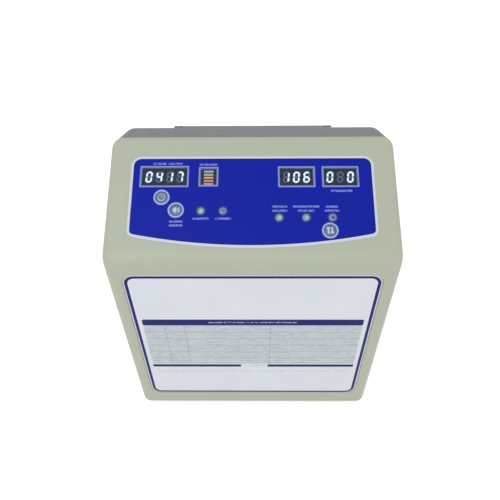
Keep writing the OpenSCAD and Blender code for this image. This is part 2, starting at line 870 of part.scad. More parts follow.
// The main board with its chips, plugs, alarm sounder and pressure sensor
module main_board() {
    color([0.08, 0.36, 0.20]) on_face() translate([0, 0, -wall - main_gap - board_t]) {
        difference() {
            translate([main_at[0], main_at[1], 0]) soft_block([main_at[2], main_at[3], board_t], board_r);
            for (at = main_screws) translate([at[0], at[1], 0]) hole(hole_d, board_t);
        }
        translate([ribbon_at[0], main_ribbon_y, -plug_h]) block([ribbon_plug[0], ribbon_plug[1], plug_h]);
        for (x = plug_xs) translate([x, plug_row, -plug_h]) block([main_plug[0], main_plug[1], plug_h]);
        for (c = main_chips) translate([c[0], c[1], -c[4]]) block([c[2], c[3], c[4]]);
        translate([sounder[0], sounder[1], -sounder[3]]) cylinder(d = sounder[2], h = sounder[3]);
        translate([sensor_at[0], sensor_at[1], -sensor_size[2]]) {
            block(sensor_size);
            translate([0, 0, -sensor_port[2]]) cylinder(d = sensor_port[0], h = sensor_port[1]);
        }
    }
}

module chassis_tray() {
    w = 2 * foot_x + tray_past;
    l = body_d - tray_short;
    mid = (face_y + back_y) / 2;
    color([0.72, 0.74, 0.76]) difference() {
        union() {
            translate([0, mid, tray_z]) block([w, l, tray_t]);
            for (s = [-1, 1]) translate([s * (w - tray_side) / 2, mid, tray_z]) block([tray_side, l, tray_rim]);
            for (at = power_feet()) translate([at[0], at[1], tray_z])
                cylinder(d = power_post_d, h = tray_t + power_h);
        }
        for (x = [-foot_x, foot_x]) translate([x, back_y - foot_in_y, tray_z]) hole(hole_d, tray_t);
        for (x = mount_xs) for (y = mount_ys) translate([x, pump_y + y, tray_z]) hole(hole_d, tray_t);
        for (at = strap_feet()) translate([at[0], at[1], tray_z]) hole(hole_d, tray_t);
        for (at = power_feet()) translate([at[0], at[1], tray_z]) hole(hole_d, tray_t + power_h);
    }
}

function power_feet() = [
    for (x = [-1, 1]) for (y = [-1, 1])
        let (
            across = power_at[2] / 2 - power_post_in,
            along = power_at[3] / 2 - power_post_in
        ) [power_at[0] + x * across, face_y + power_at[1] + y * along]
];

// The power board with its capacitors, finned heat sink and plugs
module power_board() {
    color([0.08, 0.36, 0.20]) difference() {
        translate([power_at[0], face_y + power_at[1], power_z]) {
            soft_block([power_at[2], power_at[3], board_t], board_r);
            translate([0, 0, board_t]) {
                for (c = capacitors) translate([c[0], c[1], 0]) cylinder(d = c[2], h = c[3]);
                translate([sink_at[0], sink_at[1], 0]) block([sink_at[2], sink_at[3], sink_at[4]]);
                for (y = fin_ys) translate([fin_at[0], y, 0]) block([fin_at[1], fin_at[2], fin_at[3]]);
                for (p = [low_plug, mains_plug]) translate([power_plug_x, p[0], 0]) block([p[1], p[2], plug_h]);
            }
        }
        for (at = power_feet()) translate([at[0], at[1], power_z]) hole(hole_d, board_t);
    }
}

module power_transformer() {
    w = core_window;
    c = core_coil;
    color([0.78, 0.66, 0.24])
        translate([power_at[0] + core_at[0], face_y + power_at[1] + core_at[1], power_z + board_t]) {
            difference() {
                block(core_size);
                for (s = [-1, 1]) translate([0, s * core_size[1] / 2, w[3]]) block([w[0], w[1], w[2]]);
            }
            for (s = [-1, 1]) translate([0, s * c[4], c[3]]) block([c[0], c[1], c[2]]);
        }
}

module battery_pack() {
    w = cell_rows[0] * cell_d;
    l = cell_rows[1] * cell_d;
    color([0.16, 0.30, 0.62]) translate([battery_at[0], face_y + battery_at[1], deck_z])
        soft_block([w, l, cell_l], cell_d / 2);
}

function strap_half() = cell_rows[0] * cell_d / 2 + fit;
function strap_feet() = [
    for (s = [-1, 1]) [battery_at[0] + s * (strap_half() + strap_t + strap_screw), face_y + battery_at[1]]
];

module battery_strap() {
    in = strap_half();
    out = in + strap_t;
    top = cell_l + fit;
    color([0.70, 0.72, 0.74]) translate([battery_at[0], face_y + battery_at[1], deck_z]) difference() {
        union() {
            for (s = [-1, 1]) {
                translate([s * (in + strap_t / 2), 0, 0]) block([strap_t, strap_w, top + strap_t]);
                translate([s * (out + strap_foot / 2), 0, 0]) block([strap_foot, strap_w, strap_t]);
            }
            translate([0, 0, top]) block([2 * out, strap_w, strap_t]);
        }
        for (s = [-1, 1]) translate([s * (out + strap_screw), 0, 0]) hole(hole_d, strap_t);
    }
}

module pump_plate() {
    mid = (mount_xs[0] + mount_xs[1]) / 2;
    w = mount_xs[1] - mount_xs[0] + plate_past;
    l = mount_ys[1] - mount_ys[0] + plate_past;
    color([0.70, 0.72, 0.74]) difference() {
        translate([mid, pump_y, pump_plate_z]) soft_block([w, l, plate_t], plate_r);
        for (x = mount_xs) for (y = mount_ys) translate([x, pump_y + y, pump_plate_z]) hole(hole_d, plate_t);
    }
}

module pump_mounts() {
    color([0.10, 0.10, 0.11]) for (x = mount_xs) for (y = mount_ys) translate([x, pump_y + y, deck_z])
        tube(mount_d, hole_d, mount_h);
}

module pump_housing() {
    w = pump_block[0];
    up = crank_z - pump_z;
    color([0.74, 0.76, 0.78]) translate([pump_x, pump_y, pump_z]) difference() {
        block(pump_block);
        translate([-w / 2 - over, 0, up]) rotate([0, 90, 0])
            cylinder(d = crank_room_d, h = w - crank_room_wall);
        translate([0, 0, up]) rotate([0, 90, 0]) cylinder(d = shaft_room_d, h = w);
        translate([0, 0, up]) cylinder(d = rod_room_d, h = pump_block[2]);
        for (x = [-bolt_at, bolt_at]) for (y = [-bolt_at, bolt_at])
            translate([x, y, pump_block[2] - bolt_depth]) cylinder(d = hole_d, h = bolt_depth + over);
    }
}

module pump_motor() {
    color([0.55, 0.57, 0.60]) translate([pump_x + pump_block[0] / 2, pump_y, crank_z]) rotate([0, 90, 0])
        difference() {
            union() {
                cylinder(d = motor_d, h = motor_l);
                translate([0, 0, motor_l]) cylinder(d = motor_d - motor_cap[0], h = motor_cap[1]);
                for (s = [-1, 1]) translate([0, s * terminal_y, motor_l + motor_cap[1]]) block(terminal);
            }
            translate([0, 0, -over]) cylinder(d = shaft_d + 2 * run, h = shaft_hole_l + over);
        }
}

// The motor's shaft with the eccentric at the top of its stroke and a counterweight
module pump_crank() {
    color([0.80, 0.80, 0.82]) translate([pump_x, pump_y, crank_z]) rotate([0, 90, 0]) {
        translate([0, 0, -shaft_back]) cylinder(d = shaft_d, h = pump_block[0] / 2 + shaft_back + shaft_in);
        translate([-crank_e, 0, -crank_t / 2]) cylinder(d = crank_d, h = crank_t);
        translate([0, 0, weight_x]) intersection() {
            cylinder(d = weight_d, h = weight_t);
            translate([weight_d / 3, 0, 0]) block([weight_d * 2 / 3, weight_d, weight_t]);
        }
    }
}

module connecting_rod() {
    up = pump_z + pump_block[2] - crank_z;
    color([0.86, 0.86, 0.82]) translate([pump_x, pump_y, crank_z]) difference() {
        union() {
            translate([-rod_t / 2, 0, crank_e]) rotate([0, 90, 0]) cylinder(d = crank_d + rod_rim, h = rod_t);
            translate([0, 0, crank_e]) cylinder(d = rod_neck_d, h = up - crank_e);
            translate([0, 0, up - rod_head[1]]) cylinder(d = rod_head[0], h = rod_head[1]);
        }
        translate([-rod_t / 2, 0, crank_e]) rotate([0, 90, 0]) hole(crank_d + 2 * run, rod_t);
    }
}

module pump_diaphragm() {
    color([0.15, 0.15, 0.16]) translate([pump_x, pump_y, pump_z + pump_block[2]])
        cylinder(d = diaphragm_d, h = diaphragm_t);
}

module pump_head() {
    color([0.66, 0.68, 0.70]) translate([pump_x, pump_y, pump_z + pump_block[2] + diaphragm_t]) difference() {
        union() {
            block([pump_block[0], pump_block[1], head_t]);
            translate([-head_barb_x, 0, head_t]) cylinder(d = barb_d, h = barb_l);
            translate([head_barb_x, pump_block[1] / 2, head_t - barb_l]) rotate([-90, 0, 0])
                cylinder(d = barb_d, h = barb_l);
        }
        translate([0, 0, -over]) cylinder(d = head_room[0], h = head_room[1] + over);
        for (x = [-bolt_at, bolt_at]) for (y = [-bolt_at, bolt_at]) translate([x, y, 0]) hole(hole_d, head_t);
    }
}

module valve_manifold() {
    low = valve_z - valve_block[2] / 2;
    mid = valve_y + valve_block[1] / 2;
    color([0.88, 0.88, 0.84]) difference() {
        union() {
            translate([valve_x, mid, low]) block(valve_block);
            for (x = barb_xs) translate([x, mid, low - barb_l + over]) cylinder(d = barb_d, h = barb_l);
            translate([valve_x - valve_block[0] / 2 + over, mid, valve_z]) rotate([0, -90, 0])
                cylinder(d = side_barb_d, h = barb_l);
        }
        for (x = valve_holes()) translate([x, valve_y, valve_z + valve_hole_z]) rotate([-90, 0, 0])
            hole(hole_d, valve_block[1]);
    }
}

module valve_coils() {
    color([0.20, 0.20, 0.23]) for (x = valve_xs) translate([x, valve_y, valve_z]) rotate([90, 0, 0])
        difference() {
            cylinder(d = coil_d, h = coil_l);
            translate([0, 0, -over]) cylinder(d = plunger_d + 2 * run, h = coil_l - coil_floor + over);
        }
}

module plunger(x) {
    color([0.80, 0.80, 0.82]) translate([x, valve_y - plunger_gap, valve_z]) rotate([90, 0, 0])
        cylinder(d = plunger_d, h = coil_l - coil_floor - valve_l - 2 * plunger_gap);
}

module left_plunger() {
    plunger(valve_xs[0]);
}

module right_plunger() {
    plunger(valve_xs[1]);
}

// Supply, outlet, sensor and intake tubes, each along its own route
module air_tubes() {
    low = valve_z - valve_block[2] / 2 - barb_l + over;
    mid = valve_y + valve_block[1] / 2;
    head_z = pump_z + pump_block[2] + diaphragm_t + head_t;
    up_x = pump_x - head_barb_x;
    in_x = pump_x + head_barb_x;
    in_y = pump_y + pump_block[1] / 2 + barb_l;
    port_z = base_z + port_h;
    end = valve_x - valve_block[0] / 2 - barb_l + over;
    gauge = [sensor_at[0], main_y + board_t, base_z + sensor_at[1]];
    color([0.82, 0.84, 0.82]) {
        run_through([
            [up_x, pump_y, head_z + barb_l], [up_x, pump_y, head_z + 14],
            [barb_xs[0], mid, low - 12], [barb_xs[0], mid, low]
        ], barb_d + 2);
        for (i = [0, 1]) run_through([
            [barb_xs[i + 1], mid, low], [barb_xs[i + 1], mid, port_z + 24], [port_xs[i], mid, port_z + 6],
            [port_xs[i], inner_y - 18, port_z], [port_xs[i], inner_y - port_barb_l, port_z]
        ], port_d + port_barb);
        run_through([
            [end, mid, valve_z], [end - 8, mid, valve_z],
            [gauge[0] + 4, main_y + 38, gauge[2] + 8], gauge + [0, 20, 0], gauge + [0, 12, 0]
        ], side_barb_d + 1);
        run_through([
            [in_x, in_y, head_z - barb_l], [in_x, inner_y - 9, head_z - barb_l],
            [pump_x + 16, inner_y - 9, head_z - 8], [pump_x + 24, inner_y - 13, head_z - 19],
            [pump_x + 24, inner_y - 12, head_z - 23], [pump_x + 24, inner_y - 5, head_z - 23]
        ], barb_d + 1);
    }
}

// A push-in coupling: flange and body outside, threaded neck and barb inside
module hose_outlets() {
    color([0.80, 0.81, 0.80]) for (x = port_xs) on_back(x, port_h) difference() {
        union() {
            cylinder(d = port_flange[0], h = port_flange[1]);
            cylinder(d = port_d + port_body, h = port_l);
            translate([0, 0, -wall]) hole(port_d + port_neck, wall);
            translate([0, 0, -wall - port_nut]) cylinder(d = port_d + port_body, h = port_nut, $fn = 6);
            translate([0, 0, -wall - port_barb_l]) cylinder(d = port_d + port_barb, h = port_barb_l);
        }
        translate([0, 0, -wall - port_barb_l + over]) cylinder(d = port_d, h = wall + port_l + 20);
        latch_room();
    }
}

module latch_room() {
    translate([-latch_w / 2 - fit, latch_low, latch_z - fit])
        cube([latch_w + 2 * fit, latch_room_l, latch_h + 2 * fit]);
}

module latch(x) {
    low = latch_low + latch_l + fit;
    high = port_d / 2 + latch_rise + latch_l;
    color([0.30, 0.32, 0.34]) on_back(x, port_h) translate([-latch_w / 2, low, latch_z])
        cube([latch_w, high - low, latch_h]);
}

module left_latch() {
    latch(port_xs[0]);
}

module right_latch() {
    latch(port_xs[1]);
}

module mains_inlet() {
    color([0.08, 0.08, 0.09]) on_back(inlet_x, inlet_h) difference() {
        union() {
            soft_block([inlet_flange[0], inlet_flange[1], inlet_flange[2]], inlet_flange[3]);
            translate([0, 0, -inlet_body[2]])
                soft_block([inlet_body[0], inlet_body[1], inlet_body[2] + over], inlet_body[3]);
        }
        translate([0, 0, -inlet_room[2]]) soft_block([inlet_room[0], inlet_room[1], far], inlet_room[3]);
        for (x = [-inlet_screw, inlet_screw]) translate([x, 0, 0]) hole(hole_d, inlet_flange[2]);
    }
}

module inlet_pins() {
    color([0.82, 0.82, 0.80]) on_back(inlet_x, inlet_h) for (at = inlet_pins_at) {
        translate([at[0], at[1], -inlet_room[2]]) block(inlet_pin);
        translate([at[0], at[1], -inlet_tab[3]]) block([inlet_tab[0], inlet_tab[1], inlet_tab[2]]);
    }
}

module fuse_holders() {
    color([0.08, 0.08, 0.09]) for (x = fuse_xs) on_back(x, fuse_h) difference() {
        union() {
            translate([0, 0, -fuse_body[1]]) cylinder(d = fuse_body[0], h = fuse_body[1] + over);
            cylinder(d = fuse_flange[0], h = fuse_flange[1]);
            cylinder(d = fuse_cap[0], h = fuse_cap[1]);
        }
        translate([0, 0, fuse_cap[1] - fuse_slot[2]]) block([fuse_slot[0], fuse_slot[1], fuse_slot[2] + over]);
    }
}

module switch_frame() {
    color([0.08, 0.08, 0.09]) on_back(switch_x, switch_h) difference() {
        union() {
            translate([0, 0, -switch_body[2]]) block([switch_body[0], switch_body[1], switch_body[2] + over]);
            block(switch_flange);
        }
        translate([0, 0, -switch_room[2]]) block([rocker_w + switch_room[0], switch_room[1], far]);
        translate([-switch_flange[0], 0, -rocker_in]) rotate([0, 90, 0])
            cylinder(d = rocker_pin + 2 * run, h = 2 * switch_flange[0]);
    }
}

// The switch's rocker, off, with its own pins
module power_rocker() {
    color([0.12, 0.12, 0.13]) on_back(switch_x, switch_h)
        translate([-rocker_w / 2, 0, -rocker_in]) rotate([rocker_swing / 2, 0, 0]) {
            rotate([90, 0, 90]) linear_extrude(rocker_w) polygon(rocker_form);
            rotate([0, 90, 0]) hole(rocker_pin, rocker_w);
        }
}

module vent_cover() {
    rows = floor((vent_at[3] - vent_rim) / (2 * vent_slot));
    color([0.36, 0.38, 0.38]) on_back(vent_at[0], vent_at[1]) difference() {
        soft_block([vent_at[2] + vent_past, vent_at[3] + vent_past, vent_t], vent_r);
        for (i = [0 : rows - 1]) translate([0, (i - (rows - 1) / 2) * 2 * vent_slot, 0])
            square_hole([vent_at[2] - vent_rim, vent_slot, vent_t]);
    }
}

module air_filter() {
    color([0.16, 0.17, 0.18]) on_back(vent_at[0], vent_at[1]) translate([0, 0, -wall - filter_t])
        block([vent_at[2] - 2 * fit, vent_at[3] - 2 * fit, filter_t]);
}

module rating_plate() {
    color([0.80, 0.81, 0.82]) on_back(plate_at[0], plate_at[1])
        soft_block([plate_at[2], plate_at[3], rating_t], plate_corner);
}

module bed_hook() {
    low = hook_z - hook_l;
    mid = back_y + hook_out;
    lip = lip_reach + hook_t;
    color([0.50, 0.52, 0.52]) difference() {
        union() {
            translate([-hook_w / 2, mid, hook_z]) rotate([0, 90, 0]) cylinder(d = barrel_d, h = hook_w);
            for (s = [-1, 1]) translate([s * (hook_w - arm_w) / 2, mid, low]) block([arm_w, hook_t, hook_l]);
            translate([0, mid, low]) block([hook_w, hook_t, arm_w]);
            translate([0, mid + hook_t / 2 - lip / 2, low]) block([hook_w, lip, hook_t]);
        }
        for (s = [-1, 1]) translate([s * (hook_w / 2 + over), mid, hook_z]) rotate([0, -90 * s, 0])
            cylinder(d = pin_d + 2 * run, h = pin_l + pin_in);
    }
}

module hook_brackets() {
    in = hook_w / 2 + lug_gap;
    color([0.42, 0.44, 0.44]) for (s = [-1, 1]) difference() {
        union() {
            translate([s * (in + bracket_w / 2), back_y + bracket_t / 2, hook_z - bracket_low])
                block([bracket_w, bracket_t, bracket_low - bracket_gap]);
            translate([s * (in + lug_w / 2), back_y + lug_d / 2, hook_z - lug_h]) block([lug_w, lug_d, lug_h]);
            translate([s * (in + lug_w / 2) - lug_w / 2, back_y + hook_out, hook_z]) rotate([0, 90, 0])
                cylinder(d = lug_d, h = lug_w);
        }
        translate([s * in - lug_w, back_y + hook_out, hook_z]) rotate([0, 90, 0])
            cylinder(d = pin_d + press_gap, h = 2 * lug_w + bracket_w);
        for (h = hook_screw_hs) on_back(s * hook_screw_x, h) hole(hole_d, bracket_t);
    }
}

module hook_pins() {
    in = hook_w / 2 - pin_l;
    out = hook_w / 2 + lug_gap + lug_w;
    color([0.78, 0.79, 0.80]) for (s = [-1, 1])
        translate([s * in, back_y + hook_out, hook_z]) rotate([0, 90 * s, 0]) {
            cylinder(d = pin_d, h = out - in + over);
            translate([0, 0, out - in]) cylinder(d = pin_d + pin_head[0], h = pin_head[1]);
        }
}

module hook_pads() {
    mid = back_y + hook_out - hook_t / 2 - lip_reach / 2;
    color([0.10, 0.10, 0.11]) for (s = [-1, 1])
        translate([s * (hook_w / 2 - pad_in), mid, hook_z - hook_l + hook_t])
            block([pad_size[0], lip_reach - pad_rim, pad_size[1]]);
}

module back_bumpers() {
    color([0.10, 0.10, 0.11]) for (s = [-1, 1]) on_back(s * bumper_x, bumper_h) {
        cylinder(d = bumper_d, h = hook_out);
        translate([0, 0, -wall]) cylinder(d = stud_d, h = wall + over);
    }
}

module rubber_feet() {
    color([0.10, 0.10, 0.11]) for (s = [-1, 1]) for (y = [face_y + foot_in_y, back_y - foot_in_y])
        translate([s * foot_x, y, 0]) {
            cylinder(d = foot_d, h = foot_h);
            cylinder(d = neck_d - nudge, h = foot_h + neck_l);
        }
}

module case_screws() {
    color([0.62, 0.63, 0.65]) for (s = [-1, 1]) for (h = [screw_lo, screw_hi])
        translate([s * screw_x, part_y + case_screw_in, base_z + h]) rotate([-90, 0, 0]) screw(case_screw_l);
}

// The small screws of boards, tray, pump, valves, strap, inlet and hook brackets
module machine_screws() {
    head_z = pump_z + pump_block[2] + diaphragm_t + head_t;
    color([0.62, 0.63, 0.65]) {
        for (at = display_screws) on_console(at) translate([0, 0, board_low]) rotate([180, 0, 0]) screw(7);
        for (at = main_screws) on_face(at[0], at[1]) translate([0, 0, -wall - main_gap - board_t])
            rotate([180, 0, 0]) screw(8);
        for (at = power_feet()) translate([at[0], at[1], power_z + board_t]) screw(power_h + board_t + tray_t);
        for (s = [-1, 1]) translate([s * foot_x, back_y - foot_in_y, deck_z]) screw(5);
        for (x = mount_xs) for (y = mount_ys) translate([x, pump_y + y, pump_z])
            screw(plate_t + mount_h + tray_t);
        for (x = [-bolt_at, bolt_at]) for (y = [-bolt_at, bolt_at]) translate([pump_x + x, pump_y + y, head_z])
            screw(head_t + diaphragm_t + 10);
        for (at = strap_feet()) translate([at[0], at[1], deck_z + strap_t]) screw(strap_t + tray_t);
        for (x = valve_holes()) translate([x, valve_y, valve_z + valve_hole_z]) rotate([90, 0, 0])
            screw(valve_block[1] + 6);
        for (s = [-1, 1]) on_back(inlet_x + s * inlet_screw, inlet_h) translate([0, 0, inlet_flange[2]])
            screw(8);
        for (s = [-1, 1]) for (h = hook_screw_hs) on_back(s * hook_screw_x, h)
            translate([0, 0, bracket_t]) screw(9);
    }
}

module lead(points) {
    run_through(points, wire_d);
}

// Mains wires from inlet to fuses, switch and power board, then the low-voltage
// leads from power board, battery, motor and valves to the main board
module wiring() {
    power = [power_at[0] + power_plug_x, face_y + power_at[1], power_z + board_t + plug_h];
    mains = power + [0, mains_plug[0], 0];
    low = power + [0, low_plug[0], 0];
    tab = [inlet_x, back_y - inlet_tab[3], base_z + inlet_h + inlet_pins_at[0][1]];
    live = tab + [inlet_pins_at[0][0], 0, 0];
    neutral = tab + [inlet_pins_at[2][0], 0, 0];
    fuse = [0, back_y - fuse_body[1], base_z + fuse_h];
    first = fuse + [fuse_xs[0], 0, 0];
    second = fuse + [fuse_xs[1], 0, 0];
    key = [switch_x, back_y - switch_body[2], base_z + switch_h];
    cell = [battery_at[0] - 20, face_y + battery_at[1] - 12, deck_z + cell_l];
    motor = [pump_x + pump_block[0] / 2 + motor_l + motor_cap[1] + terminal[2], pump_y + terminal_y, crank_z];
    plug = [0, main_y + board_t + plug_h, base_z + plug_row];
    feed = plug + [plug_xs[0], 0, 0];
    store = plug + [plug_xs[1], 0, 0];
    drive = plug + [plug_xs[2], 0, 0];
    coil = [0, valve_y - coil_l, valve_z];
    color([0.70, 0.12, 0.10]) {
        lead([live, live + [0, -5, 0], mains + [-4, 4, 10], mains + [-4, 0, 6], mains + [-4, 0, 0]]);
        lead([neutral, neutral + [0, -6, 0], first + [0, -10, -10], first + [0, -5, 0], first]);
        lead([second, second + [0, -8, 0], key + [8, -10, 12], key + [0, -8, 4], key + [0, 0, 4]]);
        lead([key + [0, 0, -4], key + [0, -8, -4], mains + [4, 8, 20], mains + [4, 0, 6], mains + [4, 0, 0]]);
        lead([low, low + [0, 0, 8], low + [0, 8, 34], feed + [0, 12, -6], feed + [0, 6, 0], feed]);
        lead([cell, cell + [0, 0, 5], store + [-2, 6, -4], store + [0, 5, 0], store]);
        lead([motor, motor + [3, 0, 0], motor + [4, -12, 30], drive + [8, 34, 4], drive + [0, 8, 0], drive]);
        for (i = [0, 1]) let (a = coil + [valve_xs[i], 0, 0], b = plug + [plug_xs[3] + 6 * i - 3, 0, 0])
            lead([a, a + [0, -5, 0], b + [0, 14, 8], b + [0, 6, 0], b]);
    }
}

front_shell();
rear_shell();
control_film();
face_label();
display_modules();
display_windows();
counter_digits();
mode_digits();
level_digits();
charge_bars();
time_button();
mute_button();
level_button();
mains_lamp();
battery_lamp();
high_lamp();
low_lamp();
fault_lamp();
display_board();
ribbon_cable();
main_board();
chassis_tray();
power_board();
power_transformer();
battery_pack();
battery_strap();
pump_plate();
pump_mounts();
pump_housing();
pump_motor();
pump_crank();
connecting_rod();
pump_diaphragm();
pump_head();
valve_manifold();
valve_coils();
left_plunger();
right_plunger();
air_tubes();
hose_outlets();
left_latch();
right_latch();
mains_inlet();
inlet_pins();
fuse_holders();
switch_frame();
power_rocker();
vent_cover();
air_filter();
rating_plate();
bed_hook();
hook_brackets();
hook_pins();
hook_pads();
back_bumpers();
rubber_feet();
case_screws();
machine_screws();
wiring();
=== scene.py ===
"""Looks of a compression therapy pump: case, console, face label, rear fittings, bed hook and the works inside.

Sizes are in millimetres and MM turns them into Blender's metres. A new piece is a surface worked out with numpy:
rings of points that are stacked, carried or turned, closed at both ends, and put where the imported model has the
piece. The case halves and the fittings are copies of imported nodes, trimmed or with rounded edges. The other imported
nodes keep their shape and get a finish of their own.
"""

import logging
import math
from dataclasses import dataclass, field
from enum import Enum
from typing import Callable, Sequence

import bmesh
import bpy
import numpy as np
from mathutils import Matrix, Vector

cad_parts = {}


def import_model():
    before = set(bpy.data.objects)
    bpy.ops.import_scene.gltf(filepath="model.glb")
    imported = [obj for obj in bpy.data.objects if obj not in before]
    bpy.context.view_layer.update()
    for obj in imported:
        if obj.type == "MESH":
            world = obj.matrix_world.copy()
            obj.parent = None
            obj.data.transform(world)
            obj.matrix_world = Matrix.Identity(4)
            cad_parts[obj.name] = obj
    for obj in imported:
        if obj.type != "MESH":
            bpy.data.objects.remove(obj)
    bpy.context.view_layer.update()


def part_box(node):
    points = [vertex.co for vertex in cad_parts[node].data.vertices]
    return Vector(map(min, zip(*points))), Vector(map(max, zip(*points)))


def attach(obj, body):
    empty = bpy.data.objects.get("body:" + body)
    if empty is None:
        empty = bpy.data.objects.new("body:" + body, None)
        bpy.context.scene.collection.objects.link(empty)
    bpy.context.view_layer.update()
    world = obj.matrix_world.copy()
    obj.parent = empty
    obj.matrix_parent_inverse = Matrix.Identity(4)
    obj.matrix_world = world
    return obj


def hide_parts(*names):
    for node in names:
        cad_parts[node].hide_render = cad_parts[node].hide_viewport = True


MM = 0.001
# Points nearer than this, in metres, are merged.
MERGE = 2e-6
# Faces that meet within this angle, in degrees, count as one flat area.
FLAT_ANGLE = 0.3
# The Mix node's sockets for colours: its share, first and second colour, and its result.
SHARE, FIRST, SECOND, MIXED = 0, 6, 7, 2
log = logging.getLogger("pump")
# What a material's arithmetic takes: a plain number or a wire.
Number = "float | Wire"


# ---------------------------------------------------------------- shapes


@dataclass(frozen=True)
class Place:
    """A local frame on the case: x to the right, y up the surface, z out of it."""

    origin: tuple[float, float, float] = (0.0, 0.0, 0.0)
    tilt: float = 0.0
    spin: float = 0.0

    def axes(self) -> np.ndarray:
        """The frame's three axes as the columns of a matrix: a turn about X by tilt, then about Z by spin."""
        a, b = math.radians(self.tilt), math.radians(self.spin)
        about_x = np.array([[1, 0, 0], [0, math.cos(a), -math.sin(a)], [0, math.sin(a), math.cos(a)]])
        about_z = np.array([[math.cos(b), -math.sin(b), 0], [math.sin(b), math.cos(b), 0], [0, 0, 1]])
        return about_z @ about_x

    def put(self, points: np.ndarray) -> np.ndarray:
        """Local points of any grid shape in the case's own millimetres."""
        return points @ self.axes().T + np.array(self.origin)

    def at(self, x: float, y: float, z: float = 0.0) -> "Place":
        """The same frame with its origin moved by (x, y, z) along its own axes."""
        return Place(tuple(self.put(np.array([x, y, z], float))), self.tilt, self.spin)

    def turned(self, angle: float) -> "Place":
        """The same frame tilted further about its own X axis."""
        return Place(self.origin, self.tilt + angle, self.spin)


def filleted(corners: np.ndarray, radii: np.ndarray, steps: int = 8) -> np.ndarray:
    """Outline whose corners are arcs.

    At each corner the arc's centre lies on the bisector, radius / sin(half angle) away, and the arc turns from the
    one tangent point to the other by spherical interpolation.

    Args:
        corners: the polygon's corners, anticlockwise.
        radii: one radius for each corner.
        steps: segments in each arc.

    Returns:
        The outline's points, steps + 1 for each corner.
    """
    before = np.roll(corners, 1, axis=0) - corners
    after = np.roll(corners, -1, axis=0) - corners
    before /= np.linalg.norm(before, axis=1, keepdims=True)
    after /= np.linalg.norm(after, axis=1, keepdims=True)
    half = np.arccos(np.clip((before * after).sum(1), -1, 1))[:, None] / 2
    middle = (before + after) / np.linalg.norm(before + after, axis=1, keepdims=True)
    reach = radii[:, None]
    centre = corners + middle * reach / np.sin(half)
    first = corners + before * reach / np.tan(half) - centre
    last = corners + after * reach / np.tan(half) - centre
    turn = (np.pi - 2 * half)[:, None]
    q = np.linspace(0, 1, steps + 1)[None, :, None]
    swept = np.sin((1 - q) * turn) * first[:, None] + np.sin(q * turn) * last[:, None]
    return (centre[:, None] + swept / np.sin(turn)).reshape(-1, 2)


def drawn_in(corners: np.ndarray, depths: np.ndarray) -> np.ndarray:
    """Polygon with each side moved inwards: a new corner is where its two moved sides cross.

    Args:
        corners: the polygon's corners, anticlockwise; side i runs from corner i to the next.
        depths: how far each side moves.

    Returns:
        The new corners.
    """
    along = np.roll(corners, -1, axis=0) - corners
    along /= np.linalg.norm(along, axis=1, keepdims=True)
    inward = np.stack([-along[:, 1], along[:, 0]], 1)
    last, here = np.roll(inward, 1, axis=0), inward
    deep, depth = np.roll(depths, 1), depths
    cross = last[:, 0] * here[:, 1] - last[:, 1] * here[:, 0]
    x = (deep * here[:, 1] - depth * last[:, 1]) / cross
    y = (depth * last[:, 0] - deep * here[:, 0]) / cross
    return corners + np.stack([x, y], 1)


Outline = Callable[[float], np.ndarray]


def soft_frame(width: float, height: float, radius: float, steps: int = 8) -> Outline:
    """Rounded rectangle about the origin, as a function of how far it is drawn in."""
    w, h = width / 2, height / 2
    corners = np.array([[-w, -h], [w, -h], [w, h], [-w, h]], float)

    def ring(inset: float) -> np.ndarray:
        """The outline drawn in by inset, its corner radius less by as much."""
        return filleted(drawn_in(corners, np.full(4, inset)), np.full(4, max(radius - inset, 0.02)), steps)

    return ring


def disc(diameter: float, sides: int = 64) -> Outline:
    """Circle about the origin, as a function of how far it is drawn in."""
    angle = np.linspace(0, 2 * np.pi, sides, endpoint=False)

    def ring(inset: float) -> np.ndarray:
        """The circle of radius diameter / 2 - inset."""
        return (diameter / 2 - inset) * np.stack([np.cos(angle), np.sin(angle)], 1)

    return ring


def loft(outline: Outline, profile: Sequence[tuple[float, float]]) -> np.ndarray:
    """One outline stacked upwards: each row of the profile draws it in by its first number, at its second's height.

    Args:
        outline: the outline as a function of its inset.
        profile: rows of (inset, height).

    Returns:
        A grid of points, one ring for each row.
    """
    rings = [outline(inset) for inset, _ in profile]
    heights = np.array([height for _, height in profile])
    flat = np.stack(rings)
    return np.concatenate([flat, np.broadcast_to(heights[:, None, None], flat.shape[:2] + (1,))], 2)


def turned_form(profile: Sequence[tuple[float, float]], sides: int = 64) -> np.ndarray:
    """A form turned on a lathe: each row of the profile is (radius, height), carried round the z axis."""
    return loft(disc(0.0, sides), [(-radius, height) for radius, height in profile])


def soft_edge(height: float, radius: float, low: float = 0.0, steps: int = 5) -> list[tuple[float, float]]:
    """Profile of a plate with square lower and round upper edges: a quarter circle of (inset, height) rows."""
    angle = np.linspace(0, np.pi / 2, steps + 1)
    rows = zip(radius * (1 - np.cos(angle)), low + height - radius + radius * np.sin(angle))
    return [(0.0, low)] + [(float(i), float(h)) for i, h in rows]


